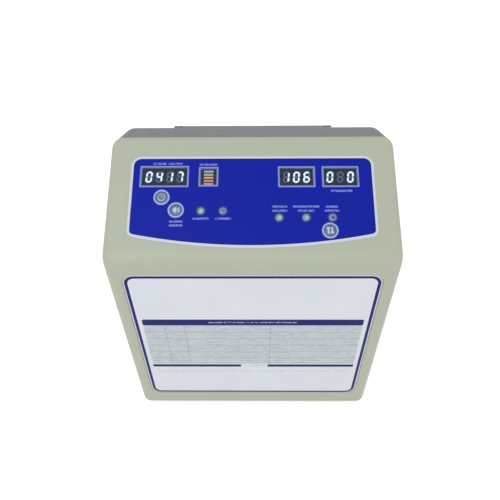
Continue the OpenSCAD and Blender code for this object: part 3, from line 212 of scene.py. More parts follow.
class Skin:
    """Collects closed grids of points and makes one mesh of them."""

    def __init__(self) -> None:
        """Starts with no surface."""
        self.points: list[np.ndarray] = []
        self.faces: list[list[int]] = []
        self.count = 0

    def add(self, grid: np.ndarray, place: Place = Place(), hollow: bool = False) -> "Skin":
        """Adds a closed form.

        Args:
            grid: rings of points, shape (rings, points, 3); each ring is closed.
            place: the local frame that the points are in.
            hollow: True joins the last ring to the first, and False closes both ends with a face.

        Returns:
            The skin itself.
        """
        rows, columns = grid.shape[:2]
        index = self.count + np.arange(rows * columns).reshape(rows, columns)
        lower = index if hollow else index[:-1]
        upper = np.roll(index, -1, axis=0) if hollow else index[1:]
        sides = np.stack([lower, np.roll(lower, -1, 1), np.roll(upper, -1, 1), upper], -1)
        self.faces += sides.reshape(-1, 4).tolist()
        if not hollow:
            self.faces += [index[0][::-1].tolist(), index[-1].tolist()]
        self.points.append(place.put(grid).reshape(-1, 3))
        self.count += rows * columns
        return self

    def build(self, name: str, smooth: float = 35.0) -> bpy.types.Object:
        """Makes the mesh, in metres, its faces pointing outwards.

        Args:
            name: the piece's name.
            smooth: edges sharper than this angle in degrees stay sharp.

        Returns:
            The new object, at the origin.
        """
        mesh = bpy.data.meshes.new(name)
        mesh.from_pydata((np.concatenate(self.points) * MM).tolist(), [], self.faces)
        return shaded(piece_of(name, mesh), smooth)


def piece_of(name: str, mesh: bpy.types.Mesh) -> bpy.types.Object:
    """A new object in the scene that holds the mesh."""
    piece = bpy.data.objects.new(name, mesh)
    bpy.context.scene.collection.objects.link(piece)
    return piece


def shaded(piece: bpy.types.Object, smooth: float) -> bpy.types.Object:
    """Merges doubles, points the faces outwards and smooths edges below the angle, in degrees.

    Stored corner normals are dropped, because they belong to the surface as it was before it was cut.
    """
    stored = piece.data.attributes.get("custom_normal")
    if stored is not None:
        piece.data.attributes.remove(stored)
    work = bmesh.new()
    work.from_mesh(piece.data)
    bmesh.ops.remove_doubles(work, verts=work.verts, dist=MERGE)
    bmesh.ops.recalc_face_normals(work, faces=work.faces)
    for edge in work.edges:
        edge.smooth = len(edge.link_faces) == 2 and edge.calc_face_angle(0.0) < math.radians(smooth)
    work.to_mesh(piece.data)
    work.free()
    piece.data.polygons.foreach_set("use_smooth", np.ones(len(piece.data.polygons), bool))
    if "even_normals" not in piece.modifiers:
        even = piece.modifiers.new("even_normals", "WEIGHTED_NORMAL")
        even.keep_sharp = True
    return piece


def carved(piece: bpy.types.Object, tool: bpy.types.Object, how: str = "DIFFERENCE",
           smooth: float = 35.0) -> bpy.types.Object:
    """Cuts, joins or trims a piece with a tool and removes the tool.

    Args:
        piece: the piece that is changed.
        tool: a closed piece.
        how: DIFFERENCE, UNION or INTERSECT.
        smooth: edges sharper than this angle in degrees stay sharp.

    Returns:
        The piece, with the result as its mesh.
    """
    piece.modifiers.clear()
    step = piece.modifiers.new("carve", "BOOLEAN")
    step.object, step.operation, step.solver = tool, how, "EXACT"
    bpy.context.view_layer.update()
    result = piece.evaluated_get(bpy.context.evaluated_depsgraph_get())
    mesh = bpy.data.meshes.new_from_object(result)
    mesh.name = piece.name
    piece.modifiers.clear()
    piece.data = mesh
    bpy.data.objects.remove(tool)
    return shaded(piece, smooth)


def copy_of(node: str, name: str, joined: bool = True) -> bpy.types.Object:
    """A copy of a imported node's mesh with its doubles merged and, where joined, each flat area made one face."""
    piece = piece_of(name, bpy.data.objects[node].data.copy())
    work = bmesh.new()
    work.from_mesh(piece.data)
    bmesh.ops.remove_doubles(work, verts=work.verts, dist=MERGE)
    if joined:
        bmesh.ops.dissolve_limit(work, angle_limit=math.radians(FLAT_ANGLE), verts=work.verts, edges=work.edges)
    work.to_mesh(piece.data)
    work.free()
    return piece


def eased(piece: bpy.types.Object, edge: float, limit: float = 40.0) -> bpy.types.Object:
    """The piece with its edges sharper than limit, in degrees, rounded by a bevel of width edge, in millimetres."""
    bevel = piece.modifiers.new("edges", "BEVEL")
    bevel.width, bevel.segments, bevel.limit_method = edge * MM, 3, "ANGLE"
    bevel.angle_limit = math.radians(limit)
    bevel.use_clamp_overlap = True
    return shaded(piece, limit)


def banded(name: str, grid: np.ndarray, place: Place) -> bpy.types.Object:
    """A printed sheet whose faces are numbered for three finishes: rim, the band inside it, and middle.

    Args:
        name: the piece's name.
        grid: the sheet's rings, of which the last two bound the band.
        place: the local frame that the grid is in.

    Returns:
        The new object, with three empty materials.
    """
    piece = Skin().add(grid, place).build(name)
    rings, ring = grid.shape[:2]
    numbers = np.zeros(len(piece.data.polygons), int)
    numbers[(rings - 2) * ring:(rings - 1) * ring] = 1
    numbers[-1] = 2
    for _ in range(3):
        piece.data.materials.append(None)
    piece.data.polygons.foreach_set("material_index", numbers)
    return piece


# ---------------------------------------------------------------- materials


def linear(code: str) -> tuple[float, float, float, float]:
    """A screen colour such as #B8BCA8 as linear red, green, blue and 1."""
    parts = [int(code[i:i + 2], 16) / 255 for i in (1, 3, 5)]
    low = [p / 12.92 if p <= 0.04045 else ((p + 0.055) / 1.055) ** 2.4 for p in parts]
    return (low[0], low[1], low[2], 1.0)


def toned(colour: Sequence[float], factor: float, lift: float = 0.0) -> tuple[float, ...]:
    """A linear colour times a factor and raised by lift, each part 1 at most, with 1 as its last value."""
    return tuple(min(factor * value + lift, 1.0) for value in colour[:3]) + (1.0,)


class Wire:
    """A value on its way through a material, open to Python's arithmetic."""

    def __init__(self, paint: "Paint", socket: bpy.types.NodeSocket) -> None:
        """Wraps the output socket of one of paint's nodes."""
        self.paint = paint
        self.socket = socket

    def __add__(self, other: Number) -> "Wire":
        """The sum."""
        return self.paint.maths("ADD", self, other)

    def __sub__(self, other: Number) -> "Wire":
        """The difference."""
        return self.paint.maths("SUBTRACT", self, other)

    def __rsub__(self, other: Number) -> "Wire":
        """The difference, reflected."""
        return self.paint.maths("SUBTRACT", other, self)

    def __mul__(self, other: Number) -> "Wire":
        """The product."""
        return self.paint.maths("MULTIPLY", self, other)

    def __truediv__(self, other: Number) -> "Wire":
        """The quotient."""
        return self.paint.maths("DIVIDE", self, other)

    def __pow__(self, other: Number) -> "Wire":
        """The power."""
        return self.paint.maths("POWER", self, other)

    def __mod__(self, other: Number) -> "Wire":
        """The remainder, never negative."""
        return self.paint.maths("FLOORED_MODULO", self, other)

    def __abs__(self) -> "Wire":
        """The size without its sign."""
        return self.paint.maths("ABSOLUTE", self)

    __radd__ = __add__

    def least(self, other: Number) -> "Wire":
        """The lesser of the two."""
        return self.paint.maths("MINIMUM", self, other)

    def most(self, other: Number) -> "Wire":
        """The greater of the two."""
        return self.paint.maths("MAXIMUM", self, other)

    def over(self, edge: Number, soft: float = 0.02) -> "Wire":
        """0 below edge and 1 above it, with a ramp of width soft."""
        return ((self - edge) / soft + 0.5).most(0).least(1)

    def under(self, edge: Number, soft: float = 0.02) -> "Wire":
        """1 below edge and 0 above it, with a ramp of width soft."""
        return ((edge - self) / soft + 0.5).most(0).least(1)


class Paint:
    """A node material while it is made."""

    def __init__(self, name: str) -> None:
        """Starts an empty material with a Principled shader."""
        self.material = bpy.data.materials.new(name)
        self.material.use_nodes = True
        self.tree = self.material.node_tree
        self.tree.nodes.clear()
        self.output = self.tree.nodes.new("ShaderNodeOutputMaterial")
        self.shader = self.tree.nodes.new("ShaderNodeBsdfPrincipled")
        self.tree.links.new(self.shader.outputs[0], self.output.inputs[0])

    def node(self, kind: str, settings: dict[str, object], values: dict[str | int, object]) -> bpy.types.Node:
        """Adds a node.

        Args:
            kind: the node's type, without its ShaderNode prefix.
            settings: properties, set first.
            values: numbers, colours or wires for the node's inputs, by name or number.

        Returns:
            The node.
        """
        made = self.tree.nodes.new("ShaderNode" + kind)
        for key, value in settings.items():
            setattr(made, key, value)
        for key, value in values.items():
            self.feed(made.inputs[key], value)
        return made

    def feed(self, socket: bpy.types.NodeSocket, value: object) -> None:
        """Links a wire to a socket, or sets the socket's own value."""
        if isinstance(value, Wire):
            self.tree.links.new(value.socket, socket)
        else:
            socket.default_value = value

    def maths(self, operation: str, *values: Number) -> Wire:
        """One Math node."""
        made = self.node("Math", {"operation": operation}, dict(enumerate(values)))
        return Wire(self, made.outputs[0])

    def vector(self, operation: str, *values: object, output: int = 0) -> Wire:
        """One Vector Math node, whose output 0 is a vector and 1 a number."""
        made = self.node("VectorMath", {"operation": operation}, dict(enumerate(values)))
        return Wire(self, made.outputs[output])

    def blend(self, share: Number, first: object, second: object) -> Wire:
        """Mixes two colours: share 0 is the first and 1 the second."""
        settings = {"data_type": "RGBA", "blend_type": "MIX"}
        made = self.node("Mix", settings, {SHARE: share, FIRST: first, SECOND: second})
        return Wire(self, made.outputs[MIXED])

    def coordinates(self) -> Wire:
        """Object coordinates in millimetres, as a vector."""
        here = self.node("TexCoord", {}, {}).outputs["Object"]
        made = self.node("VectorMath", {"operation": "SCALE"}, {0: Wire(self, here), "Scale": 1 / MM})
        return Wire(self, made.outputs[0])

    def along(self, place: Place) -> tuple[Wire, Wire, Wire]:
        """Distances in millimetres along a place's own x, y and z axes."""
        offset = self.vector("SUBTRACT", self.coordinates(), place.origin)
        axes = place.axes().T
        x, y, z = (self.vector("DOT_PRODUCT", offset, tuple(axis), output=1) for axis in axes)
        return x, y, z

    def noise(self, size: float, detail: float = 2.0, stretch: tuple[float, float, float] = (1, 1, 1)) -> Wire:
        """Soft noise from 0 to 1 whose features are about size millimetres, longer along small stretches."""
        spread = self.vector("MULTIPLY", self.coordinates(), stretch)
        made = self.node("TexNoise", {}, {"Vector": spread, "Scale": 1 / size, "Detail": detail})
        return Wire(self, made.outputs[0])

    def cells(self, size: float, edges: bool = False) -> Wire:
        """Distance to the nearest of scattered points, or to the edge between two, in units of size millimetres."""
        settings = {"feature": "DISTANCE_TO_EDGE" if edges else "F1"}
        made = self.node("TexVoronoi", settings, {"Vector": self.coordinates(), "Scale": 1 / size})
        return Wire(self, made.outputs[0])

    def finish(self, height: Wire | None = None, depth: float = 0.02, **sockets: object) -> bpy.types.Material:
        """Feeds the shader and returns the material.

        Args:
            height: relief from 0 to 1 for the Bump node, or None.
            depth: the relief's depth in millimetres.
            sockets: values by socket name, with _ for each space.

        Returns:
            The finished material.
        """
        for key, value in sockets.items():
            self.feed(self.shader.inputs[key.replace("_", " ")], value)
        if height is not None:
            bump = self.node("Bump", {}, {"Height": height, "Distance": depth * MM, "Strength": 1.0})
            self.feed(self.shader.inputs["Normal"], Wire(self, bump.outputs[0]))
        return self.material


@dataclass(frozen=True)
class Moulded:
    """Moulded plastic: a faint drift of tone, the tool's fine grain and a slight play of gloss."""

    name: str
    colour: str
    roughness: float = 0.5
    drift: float = 0.07
    grain: float = 0.5
    relief: float = 0.03
    coat: float = 0.0
    shine: float = 0.5

    def material(self) -> bpy.types.Material:
        """The node material."""
        paint = Paint(self.name)
        broad, fine = paint.noise(38.0, 3.0), paint.noise(self.grain, 2.0)
        tone = (broad - 0.5) * self.drift + (fine - 0.5) * (self.drift / 2) + 0.5
        base = linear(self.colour)
        colour = paint.blend(tone, toned(base, 0.5), toned(base, 1.5))
        gloss = (paint.noise(9.0, 3.0) - 0.5) * 0.12 + self.roughness
        return paint.finish(fine, self.relief, Base_Color=colour, Roughness=gloss, Coat_Weight=self.coat,
                            Coat_Roughness=0.25, Specular_IOR_Level=self.shine)


@dataclass(frozen=True)
class Metal:
    """Metal with its working marks: brushed along one axis, or cast where the stretch is even."""

    name: str
    colour: str
    roughness: float = 0.35
    stretch: tuple[float, float, float] = (0.04, 1.0, 1.0)
    size: float = 0.6
    relief: float = 0.01

    def material(self) -> bpy.types.Material:
        """The node material."""
        paint = Paint(self.name)
        marks = paint.noise(self.size, 4.0, self.stretch)
        smear = paint.noise(14.0, 2.0)
        base = linear(self.colour)
        colour = paint.blend(marks * 0.6 + smear * 0.4, toned(base, 0.72), base)
        rough = (marks - 0.5) * 0.2 + (smear - 0.5) * 0.15 + self.roughness
        return paint.finish(marks, self.relief, Base_Color=colour, Roughness=rough, Metallic=1.0)


@dataclass(frozen=True)
class Rubber:
    """Soft rubber or sleeve: dull, with specks of bloom and a fine skin."""

    name: str
    colour: str = "#1B1B1C"
    roughness: float = 0.78
    grain: float = 0.7
    clear: float = 0.0

    def material(self) -> bpy.types.Material:
        """The node material."""
        paint = Paint(self.name)
        bloom, skin = paint.noise(5.0, 4.0), paint.noise(self.grain, 3.0)
        base = linear(self.colour)
        colour = paint.blend(bloom.over(0.5, 0.5) * 0.5, base, toned(base, 1.7, 0.012))
        rough = (skin - 0.5) * 0.2 + self.roughness
        return paint.finish(skin, 0.05, Base_Color=colour, Roughness=rough, Alpha=1.0 - self.clear)


@dataclass(frozen=True)
class Board:
    """A circuit board: solder mask with tracks under it and bright pads."""

    name: str
    colour: str = "#175A33"

    def material(self) -> bpy.types.Material:
        """The node material: tracks lie on the edges of scattered cells, and pads at their middles."""
        paint = Paint(self.name)
        tracks = paint.cells(4.5, edges=True).under(0.06, 0.03)
        pads = paint.cells(2.2).under(0.16, 0.04)
        mask = linear(self.colour)
        colour = paint.blend(pads, paint.blend(tracks, mask, toned(mask, 1.9)), linear("#C9CBC8"))
        rough = 0.38 - pads * 0.1 + (paint.noise(6.0) - 0.5) * 0.1
        return paint.finish(tracks + pads, 0.04, Base_Color=colour, Roughness=rough, Metallic=pads * 0.8)


@dataclass(frozen=True)
class Foam:
    """Open foam: pale struts, and the cells between them darkened as painted shade, the shade deep in the pores."""

    name: str
    colour: str = "#35373A"

    def material(self) -> bpy.types.Material:
        """The node material: struts lie on the edges of cells about a millimetre wide."""
        paint = Paint(self.name)
        struts = paint.cells(1.1, edges=True).under(0.12, 0.12)
        base = linear(self.colour)
        # Painted shade: the cells between the struts are darkened to 0.3 of the base, for the shade in the pores.
        colour = paint.blend(struts, toned(base, 0.3), base)
        return paint.finish(struts, 0.4, Base_Color=colour, Roughness=0.95 - struts * 0.1)


@dataclass(frozen=True)
class Glow:
    """A lit part behind a window, with a faint play of brightness."""

    name: str
    colour: str
    strength: float = 1.0

    def material(self) -> bpy.types.Material:
        """The node material."""
        paint = Paint(self.name)
        play = paint.noise(2.5, 2.0)
        base = linear(self.colour)
        colour = paint.blend(play, toned(base, 0.8), base)
        return paint.finish(play, 0.01, Base_Color=colour, Roughness=0.5 + play * 0.1, Emission_Color=colour,
                            Emission_Strength=self.strength)


@dataclass(frozen=True)
class Print:
    """Marks on a printed sheet, in a sheet's own x and y, in millimetres."""

    x: Wire
    y: Wire
    soft: float = 0.25

    def bar(self, x: float, y: float, width: float, height: float, radius: float = 0.0) -> Wire:
        """1 inside a rounded bar about (x, y) and 0 outside: a clamp of the signed distance to its edge."""
        across, up = abs(self.x - x) - (width / 2 - radius), abs(self.y - y) - (height / 2 - radius)
        if radius == 0:
            return across.most(up).under(0.0, self.soft)
        corner = (across.most(0) ** 2 + up.most(0) ** 2) ** 0.5
        return (corner + across.most(up).least(0)).under(radius, self.soft)

    def spot(self, x: float, y: float, diameter: float) -> Wire:
        """1 inside a disc about (x, y) and 0 outside."""
        return self.reach(x, y).under(diameter / 2, self.soft)

    def reach(self, x: float, y: float) -> Wire:
        """The distance from (x, y)."""
        return ((self.x - x) ** 2 + (self.y - y) ** 2) ** 0.5

    def any_of(self, *marks: Wire) -> Wire:
        """The marks taken together."""
        whole = marks[0]
        for mark in marks[1:]:
            whole = whole.most(mark)
        return whole


# ---------------------------------------------------------------- sub-assemblies


@dataclass(frozen=True)
class Datum:
    """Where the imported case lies, read from the frame, and the local frames on it."""

    nose_h: float = 168.3
    slope: float = 30.0
    slope_l: float = 86.3

    @property
    def half_w(self) -> float:
        """Half the case's width."""
        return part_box("front_shell")[1].x / MM

    @property
    def face_y(self) -> float:
        """The upright face."""
        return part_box("front_shell")[0].y / MM

    @property
    def base_z(self) -> float:
        """The underside of the case."""
        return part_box("front_shell")[0].z / MM

    @property
    def back_y(self) -> float:
        """The flat back."""
        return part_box("rear_shell")[1].y / MM

    @property
    def console(self) -> Place:
        """Frame of the console: its origin on the nose corner, y up the slope."""
        return Place((0.0, self.face_y, self.base_z + self.nose_h), self.slope)

    @property
    def face(self) -> Place:
        """Frame of the upright face: its origin at the bottom, y upwards."""
        return Place((0.0, self.face_y, self.base_z), 90.0)

    @property
    def back(self) -> Place:
        """Frame of the back: its origin at the bottom, x to the left as seen from the front."""
        return Place((0.0, self.back_y, self.base_z), 90.0, 180.0)


class Bench:
    """What every sub-assembly shares: it dresses its pieces and reports them."""

    def dress(self, piece: bpy.types.Object, finishes: object, slot: str, body: str = "case",
              stands_for: Sequence[str] = ()) -> bpy.types.Object:
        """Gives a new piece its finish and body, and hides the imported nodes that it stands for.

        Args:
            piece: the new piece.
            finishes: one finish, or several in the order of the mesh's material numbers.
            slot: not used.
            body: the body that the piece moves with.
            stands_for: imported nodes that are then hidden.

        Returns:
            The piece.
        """
        several = finishes if isinstance(finishes, (list, tuple)) else [finishes]
        numbers = np.zeros(len(piece.data.polygons), int)
        piece.data.polygons.foreach_get("material_index", numbers)
        piece.data.materials.clear()
        for finish in several:
            piece.data.materials.append(finish.material())
        piece.data.polygons.foreach_set("material_index", numbers)
        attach(piece, body)
        if stands_for:
            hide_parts(*stands_for)
        log.info("%s rides on %s", piece.name, body)
        return piece

    def paint(self, node: str, finish: object) -> None:
        """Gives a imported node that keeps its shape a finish."""
        made = finish.material()
        for place in bpy.data.objects[node].material_slots:
            place.material = made
        log.info("%s keeps its packed shape", node)


@dataclass
class Case(Bench):
    """The beige front half and the grey rear half: one rounded form, parted behind the console. The rear half's dark
    grey is partly its own colour and partly painted shade, for its top that slopes away behind the crest.
    """

    datum: Datum
    rear_fall: float = 18.0
    nose_r: float = 12.0
    crest_r: float = 6.0
    rear_r: float = 20.0
    base_r: float = 3.0
    skirt_r: float = 10.0
    back_r: float = 9.0
    cheek_r: float = 8.0
    brow_r: float = 4.0
    edge_r: float = 6.0
    recess_t: float = 1.0
    recess_m: float = 3.6
    pocket: tuple[float, float, float] = (167.3, 142.4, 8.4)
    lip_r: float = 0.4
    skin: float = 0.04
    steps: int = 14
    parts: int = 9
    bays: int = 11
    rounds: int = 12
    foot_r: float = 8.0
    bumper_x: float = 74.0
    bumper_r: float = 7.0
    dome_r: float = 1.6
    beige: Moulded = Moulded("case_beige", "#B6BBA9", 0.46, 0.05, 0.55, 0.035)
    # This grey is partly painted shade: it also stands for the shade on the top that slopes back behind the crest.
    grey: Moulded = Moulded("case_grey", "#666F6D", 0.5, 0.06, 0.6, 0.04)

    def form(self, inset: float) -> np.ndarray:
        """The whole case as one closed form.

        The side profile, a pentagon with round corners, is carried across the width. Over the last stretch on each
        side it is drawn in by r * (1 - sin a) while x falls short of the side by r * (1 - cos a), a quarter circle
        whose radius r belongs to the profile's side and turns smoothly into the next one's along each corner. The
        flat sides are parted both ways, so that no face runs round several openings.

        Args:
            inset: how far the whole form is drawn in.

        Returns:
            Rings of points across the width.
        """
        d = self.datum
        slope = math.radians(d.slope)
        nose_z = d.base_z + d.nose_h
        crest_y, crest_z = d.face_y + d.slope_l * math.cos(slope), nose_z + d.slope_l * math.sin(slope)
        rear_z = crest_z - (d.back_y - crest_y) * math.tan(math.radians(self.rear_fall))
        corners = np.array([[d.face_y, d.base_z], [d.back_y, d.base_z], [d.back_y, rear_z], [crest_y, crest_z],
                            [d.face_y, nose_z]])
        corner_r = np.array([self.base_r, self.base_r, self.rear_r, self.crest_r, self.nose_r])
        side_r = np.array([self.skirt_r, self.back_r, self.cheek_r, self.brow_r, self.edge_r])
        q = np.linspace(0, 1, self.steps + 1)
        ease = (q * q * (3 - 2 * q))[None, :]
        before = np.roll(side_r, 1)[:, None]
        bends = before + (side_r[:, None] - before) * ease
        reach = np.concatenate([bends, np.repeat(side_r[:, None], self.parts, 1)], 1).reshape(-1)
        share = (np.arange(1, self.parts + 1) / (self.parts + 1))[None, :, None]
        half = []
        for angle in np.linspace(0, np.pi / 2, self.rounds):
            depths = side_r * (1 - math.sin(angle)) + inset
            radii = np.maximum(corner_r - (depths + np.roll(depths, 1)) / 2, 0.3)
            arcs = filleted(drawn_in(corners, depths), radii, self.steps).reshape(len(corners), -1, 2)
            ends, starts = arcs[:, -1:], np.roll(arcs[:, :1], -1, axis=0)
            ring = np.concatenate([arcs, ends + (starts - ends) * share], 1).reshape(-1, 2)
            x = d.half_w - inset - reach * (1 - math.cos(angle))
            half.append(np.column_stack([x, ring]))
        right = np.stack(half)
        left = right * np.array([-1, 1, 1])
        middle = [left[-1] + (right[-1] - left[-1]) * k / self.bays for k in range(1, self.bays)]
        return np.concatenate([left, np.stack(middle), right[::-1]])

    def smooth_form(self) -> bpy.types.Object:
        """The whole case as a tool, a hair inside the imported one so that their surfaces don't coincide."""
        return Skin().add(self.form(self.skin)).build("form")

    def flare(self, width: float, height: float, radius: float, place: Place) -> bpy.types.Object:
        """A tool that rounds the rim of a recess: its outline widens by a quarter circle up to the surface."""
        angle = np.linspace(0, np.pi / 2, 6)
        r = self.lip_r
        curve = [(-r * (1 - math.cos(a)), -r + r * math.sin(a)) for a in angle]
        rows = [(0.0, -self.recess_t + 0.05)] + curve + [(-r, 2.0)]
        return Skin().add(loft(soft_frame(width, height, radius), rows), place).build("flare")

    def front(self) -> bpy.types.Object:
        """The front half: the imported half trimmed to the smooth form, its recess drawn close round the label."""
        label_low, label_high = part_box("face_label")
        margin = 2 * self.recess_m + 1.0
        width, height = (label_high.x - label_low.x) / MM + margin, (label_high.z - label_low.z) / MM + margin
        place = self.datum.face.at(0, (label_high.z + label_low.z) / 2 / MM - self.datum.base_z)
        filler = Skin().add(loft(soft_frame(width, height, 8.5), [(0.0, -self.recess_t - 0.5), (0.0, 1.0)]), place)
        piece = carved(copy_of("front_shell", "front_case", joined=False), filler.build("filler"), "UNION")
        piece = carved(piece, self.smooth_form(), "INTERSECT")
        piece = carved(piece, self.flare(*self.pocket, place))
        return self.dress(piece, self.beige, "case_beige", stands_for=["front_shell"])

    def rear(self) -> bpy.types.Object:
        """The rear half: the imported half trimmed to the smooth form."""
        form = self.smooth_form()
        piece = carved(copy_of("rear_shell", "rear_case", joined=False), form, "INTERSECT")
        return self.dress(piece, self.grey, "case_grey", stands_for=["rear_shell"])

    def feet(self) -> None:
        """Four round feet, each turned with a chamfered rim, a shallow ring in its sole and a neck into the case."""
        low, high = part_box("rubber_feet")
        skin = Skin()
        r = self.foot_r
        rows = [(1.0, 0.0), (5.2, 0.0), (5.6, 0.35), (6.4, 0.35), (6.8, 0.0), (7.5, 0.0), (r, 0.6), (7.8, 2.8),
                (7.4, 3.0), (2.5, 3.0), (2.5, 6.4), (2.1, 6.6)]
        for x in (low.x / MM + r, high.x / MM - r):
            for y in (low.y / MM + r, high.y / MM - r):
                skin.add(turned_form(rows), Place((x, y, 0.0)))
        self.dress(skin.build("feet"), Rubber("foot_rubber"), "rubber_black", stands_for=["rubber_feet"])

    def bumpers(self) -> None:
        """Two round bumpers at the foot of the back, domed at their ends."""
        low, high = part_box("back_bumpers")
        length = high.y / MM - self.datum.back_y
        r, dome_r = self.bumper_r, self.dome_r
        dome = [(r - dome_r * (1 - math.cos(a)), length - dome_r + dome_r * math.sin(a))
                for a in np.linspace(0, 1.57, 6)]
        rows = [(1.9, -2.8), (1.9, 0.0), (r, 0.0)] + dome + [(3.0, length), (2.6, length - 0.6)]
        skin = Skin()
        middle = (low.z + high.z) / 2 / MM - self.datum.base_z
        for x in (-self.bumper_x, self.bumper_x):
            skin.add(turned_form(rows), self.datum.back.at(x, middle))
        self.dress(skin.build("bumpers"), Rubber("bumper_rubber"), "rubber_black", stands_for=["back_bumpers"])

    def build(self) -> None:
        """Makes the sub-assembly."""
        self.front()
        self.rear()
        self.feet()
        self.bumpers()
        self.paint("case_screws", Metal("case_screw_steel", "#9A9B9D", 0.35))


@dataclass(frozen=True)
class FilmPrint:
    """The blue field of the control film, with broken pale bars where small captions stand."""

    name: str
    place: Place
    captions: tuple[tuple[float, float, float], ...]
    colour: str = "#0C20A8"
    ink: str = "#8E9BE6"
    bar_h: float = 1.4
    bar_r: float = 0.4

    def material(self) -> bpy.types.Material:
        """The node material."""
        paint = Paint(self.name)
        x, y, _ = paint.along(self.place)
        sheet = Print(x, y, 0.35)
        marks = sheet.any_of(*(sheet.bar(*row, self.bar_h, self.bar_r) for row in self.captions))
        breaks = paint.noise(1.7, 3.0).over(0.46, 0.16) * 0.5 + 0.25
        drift = paint.noise(46.0, 2.0)
        base = linear(self.colour)
        field_colour = paint.blend(drift, toned(base, 0.86), base)
        colour = paint.blend(marks * breaks, field_colour, linear(self.ink))
        fine = paint.noise(0.35, 2.0)
        return paint.finish(fine, 0.006, Base_Color=colour, Roughness=(fine - 0.5) * 0.08 + 0.36,
                            Specular_IOR_Level=0.12)


@dataclass
class ControlFilm(Bench):
    """The printed film on the console: a pale border round a blue field, bowed along its lower edge."""

    datum: Datum
    width: float = 157.6
    high: float = 72.2
    low: float = 17.3
    bow: float = 7.7
    upper_r: float = 6.6
    lower_r: float = 4.6
    thickness: float = 0.6
    border: float = 1.7
    seam: float = 0.4
    bends: int = 24
    captions: tuple[tuple[float, float, float], ...] = (
        (-60.2, 66.9, 8.6), (-50.0, 66.9, 9.4), (-28.4, 66.2, 11.5), (-48.0, 26.9, 8.5), (-48.0, 24.3, 8.5),
        (-32.5, 28.8, 10.3), (-18.3, 28.8, 10.3), (57.1, 47.5, 13.6), (17.4, 36.8, 9.7), (17.4, 34.0, 9.7),
        (34.1, 36.8, 16.7), (34.0, 34.0, 10.5), (50.4, 36.7, 7.6), (50.3, 34.0, 9.3))

    def outline(self, inset: float) -> np.ndarray:
        """The film's outline: straight sides and top, and below a parabola that sags by bow at its middle."""
        w = self.width / 2 - inset
        x = np.linspace(-w, w, self.bends + 1)
        sag = self.low + inset - self.bow * (1 - (x / w) ** 2)
        top = np.array([[w, self.high - inset], [-w, self.high - inset]])
        corners = np.concatenate([np.column_stack([x, sag]), top])
        radii = np.zeros(len(corners))
        radii[[0, self.bends]] = max(self.lower_r - inset, 0.3)
        radii[-2:] = max(self.upper_r - inset, 0.3)
        arcs = filleted(corners, radii).reshape(len(corners), -1, 2)
        sag_points = arcs[1:self.bends, 0]
        return np.concatenate([arcs[0], sag_points, arcs[self.bends], arcs[-2], arcs[-1]])

    def openings(self, console: "Console") -> bpy.types.Object:
        """One tool with a form for each window, button and lamp."""
        skin = Skin()
        rows = [(0.0, -1.0), (0.0, 2.0)]
        for x, y, w, h in console.windows:
            skin.add(loft(soft_frame(w, h, 0.3), rows), self.datum.console.at(x, y))
        for x, y in console.buttons.values():
            skin.add(loft(disc(console.cap_d + 2 * console.cap_gap), rows), self.datum.console.at(x, y))
        for x, y in console.lamps.values():
            skin.add(loft(disc(console.lamp_d + 0.3), rows), self.datum.console.at(x, y))
        return skin.build("openings")

    def build(self, console: "Console") -> None:
        """Makes the film: three bands of its top carry the border, a dark seam and the blue field."""
        rows = soft_edge(self.thickness, 0.2) + [(self.border, self.thickness),
                                                 (self.border + self.seam, self.thickness)]
        piece = banded("film", loft(self.outline, rows), self.datum.console)
        piece = carved(piece, self.openings(console))
        border = Moulded("film_border", "#D3DCFF", 0.4, 0.04, 0.4, 0.006)
        seam = Moulded("film_seam", "#0E1878", 0.38, 0.05, 0.4, 0.006, shine=0.12)
        field_print = FilmPrint("film_field", self.datum.console, self.captions)
        self.dress(piece, [border, seam, field_print], "blue_film", stands_for=["control_film"])


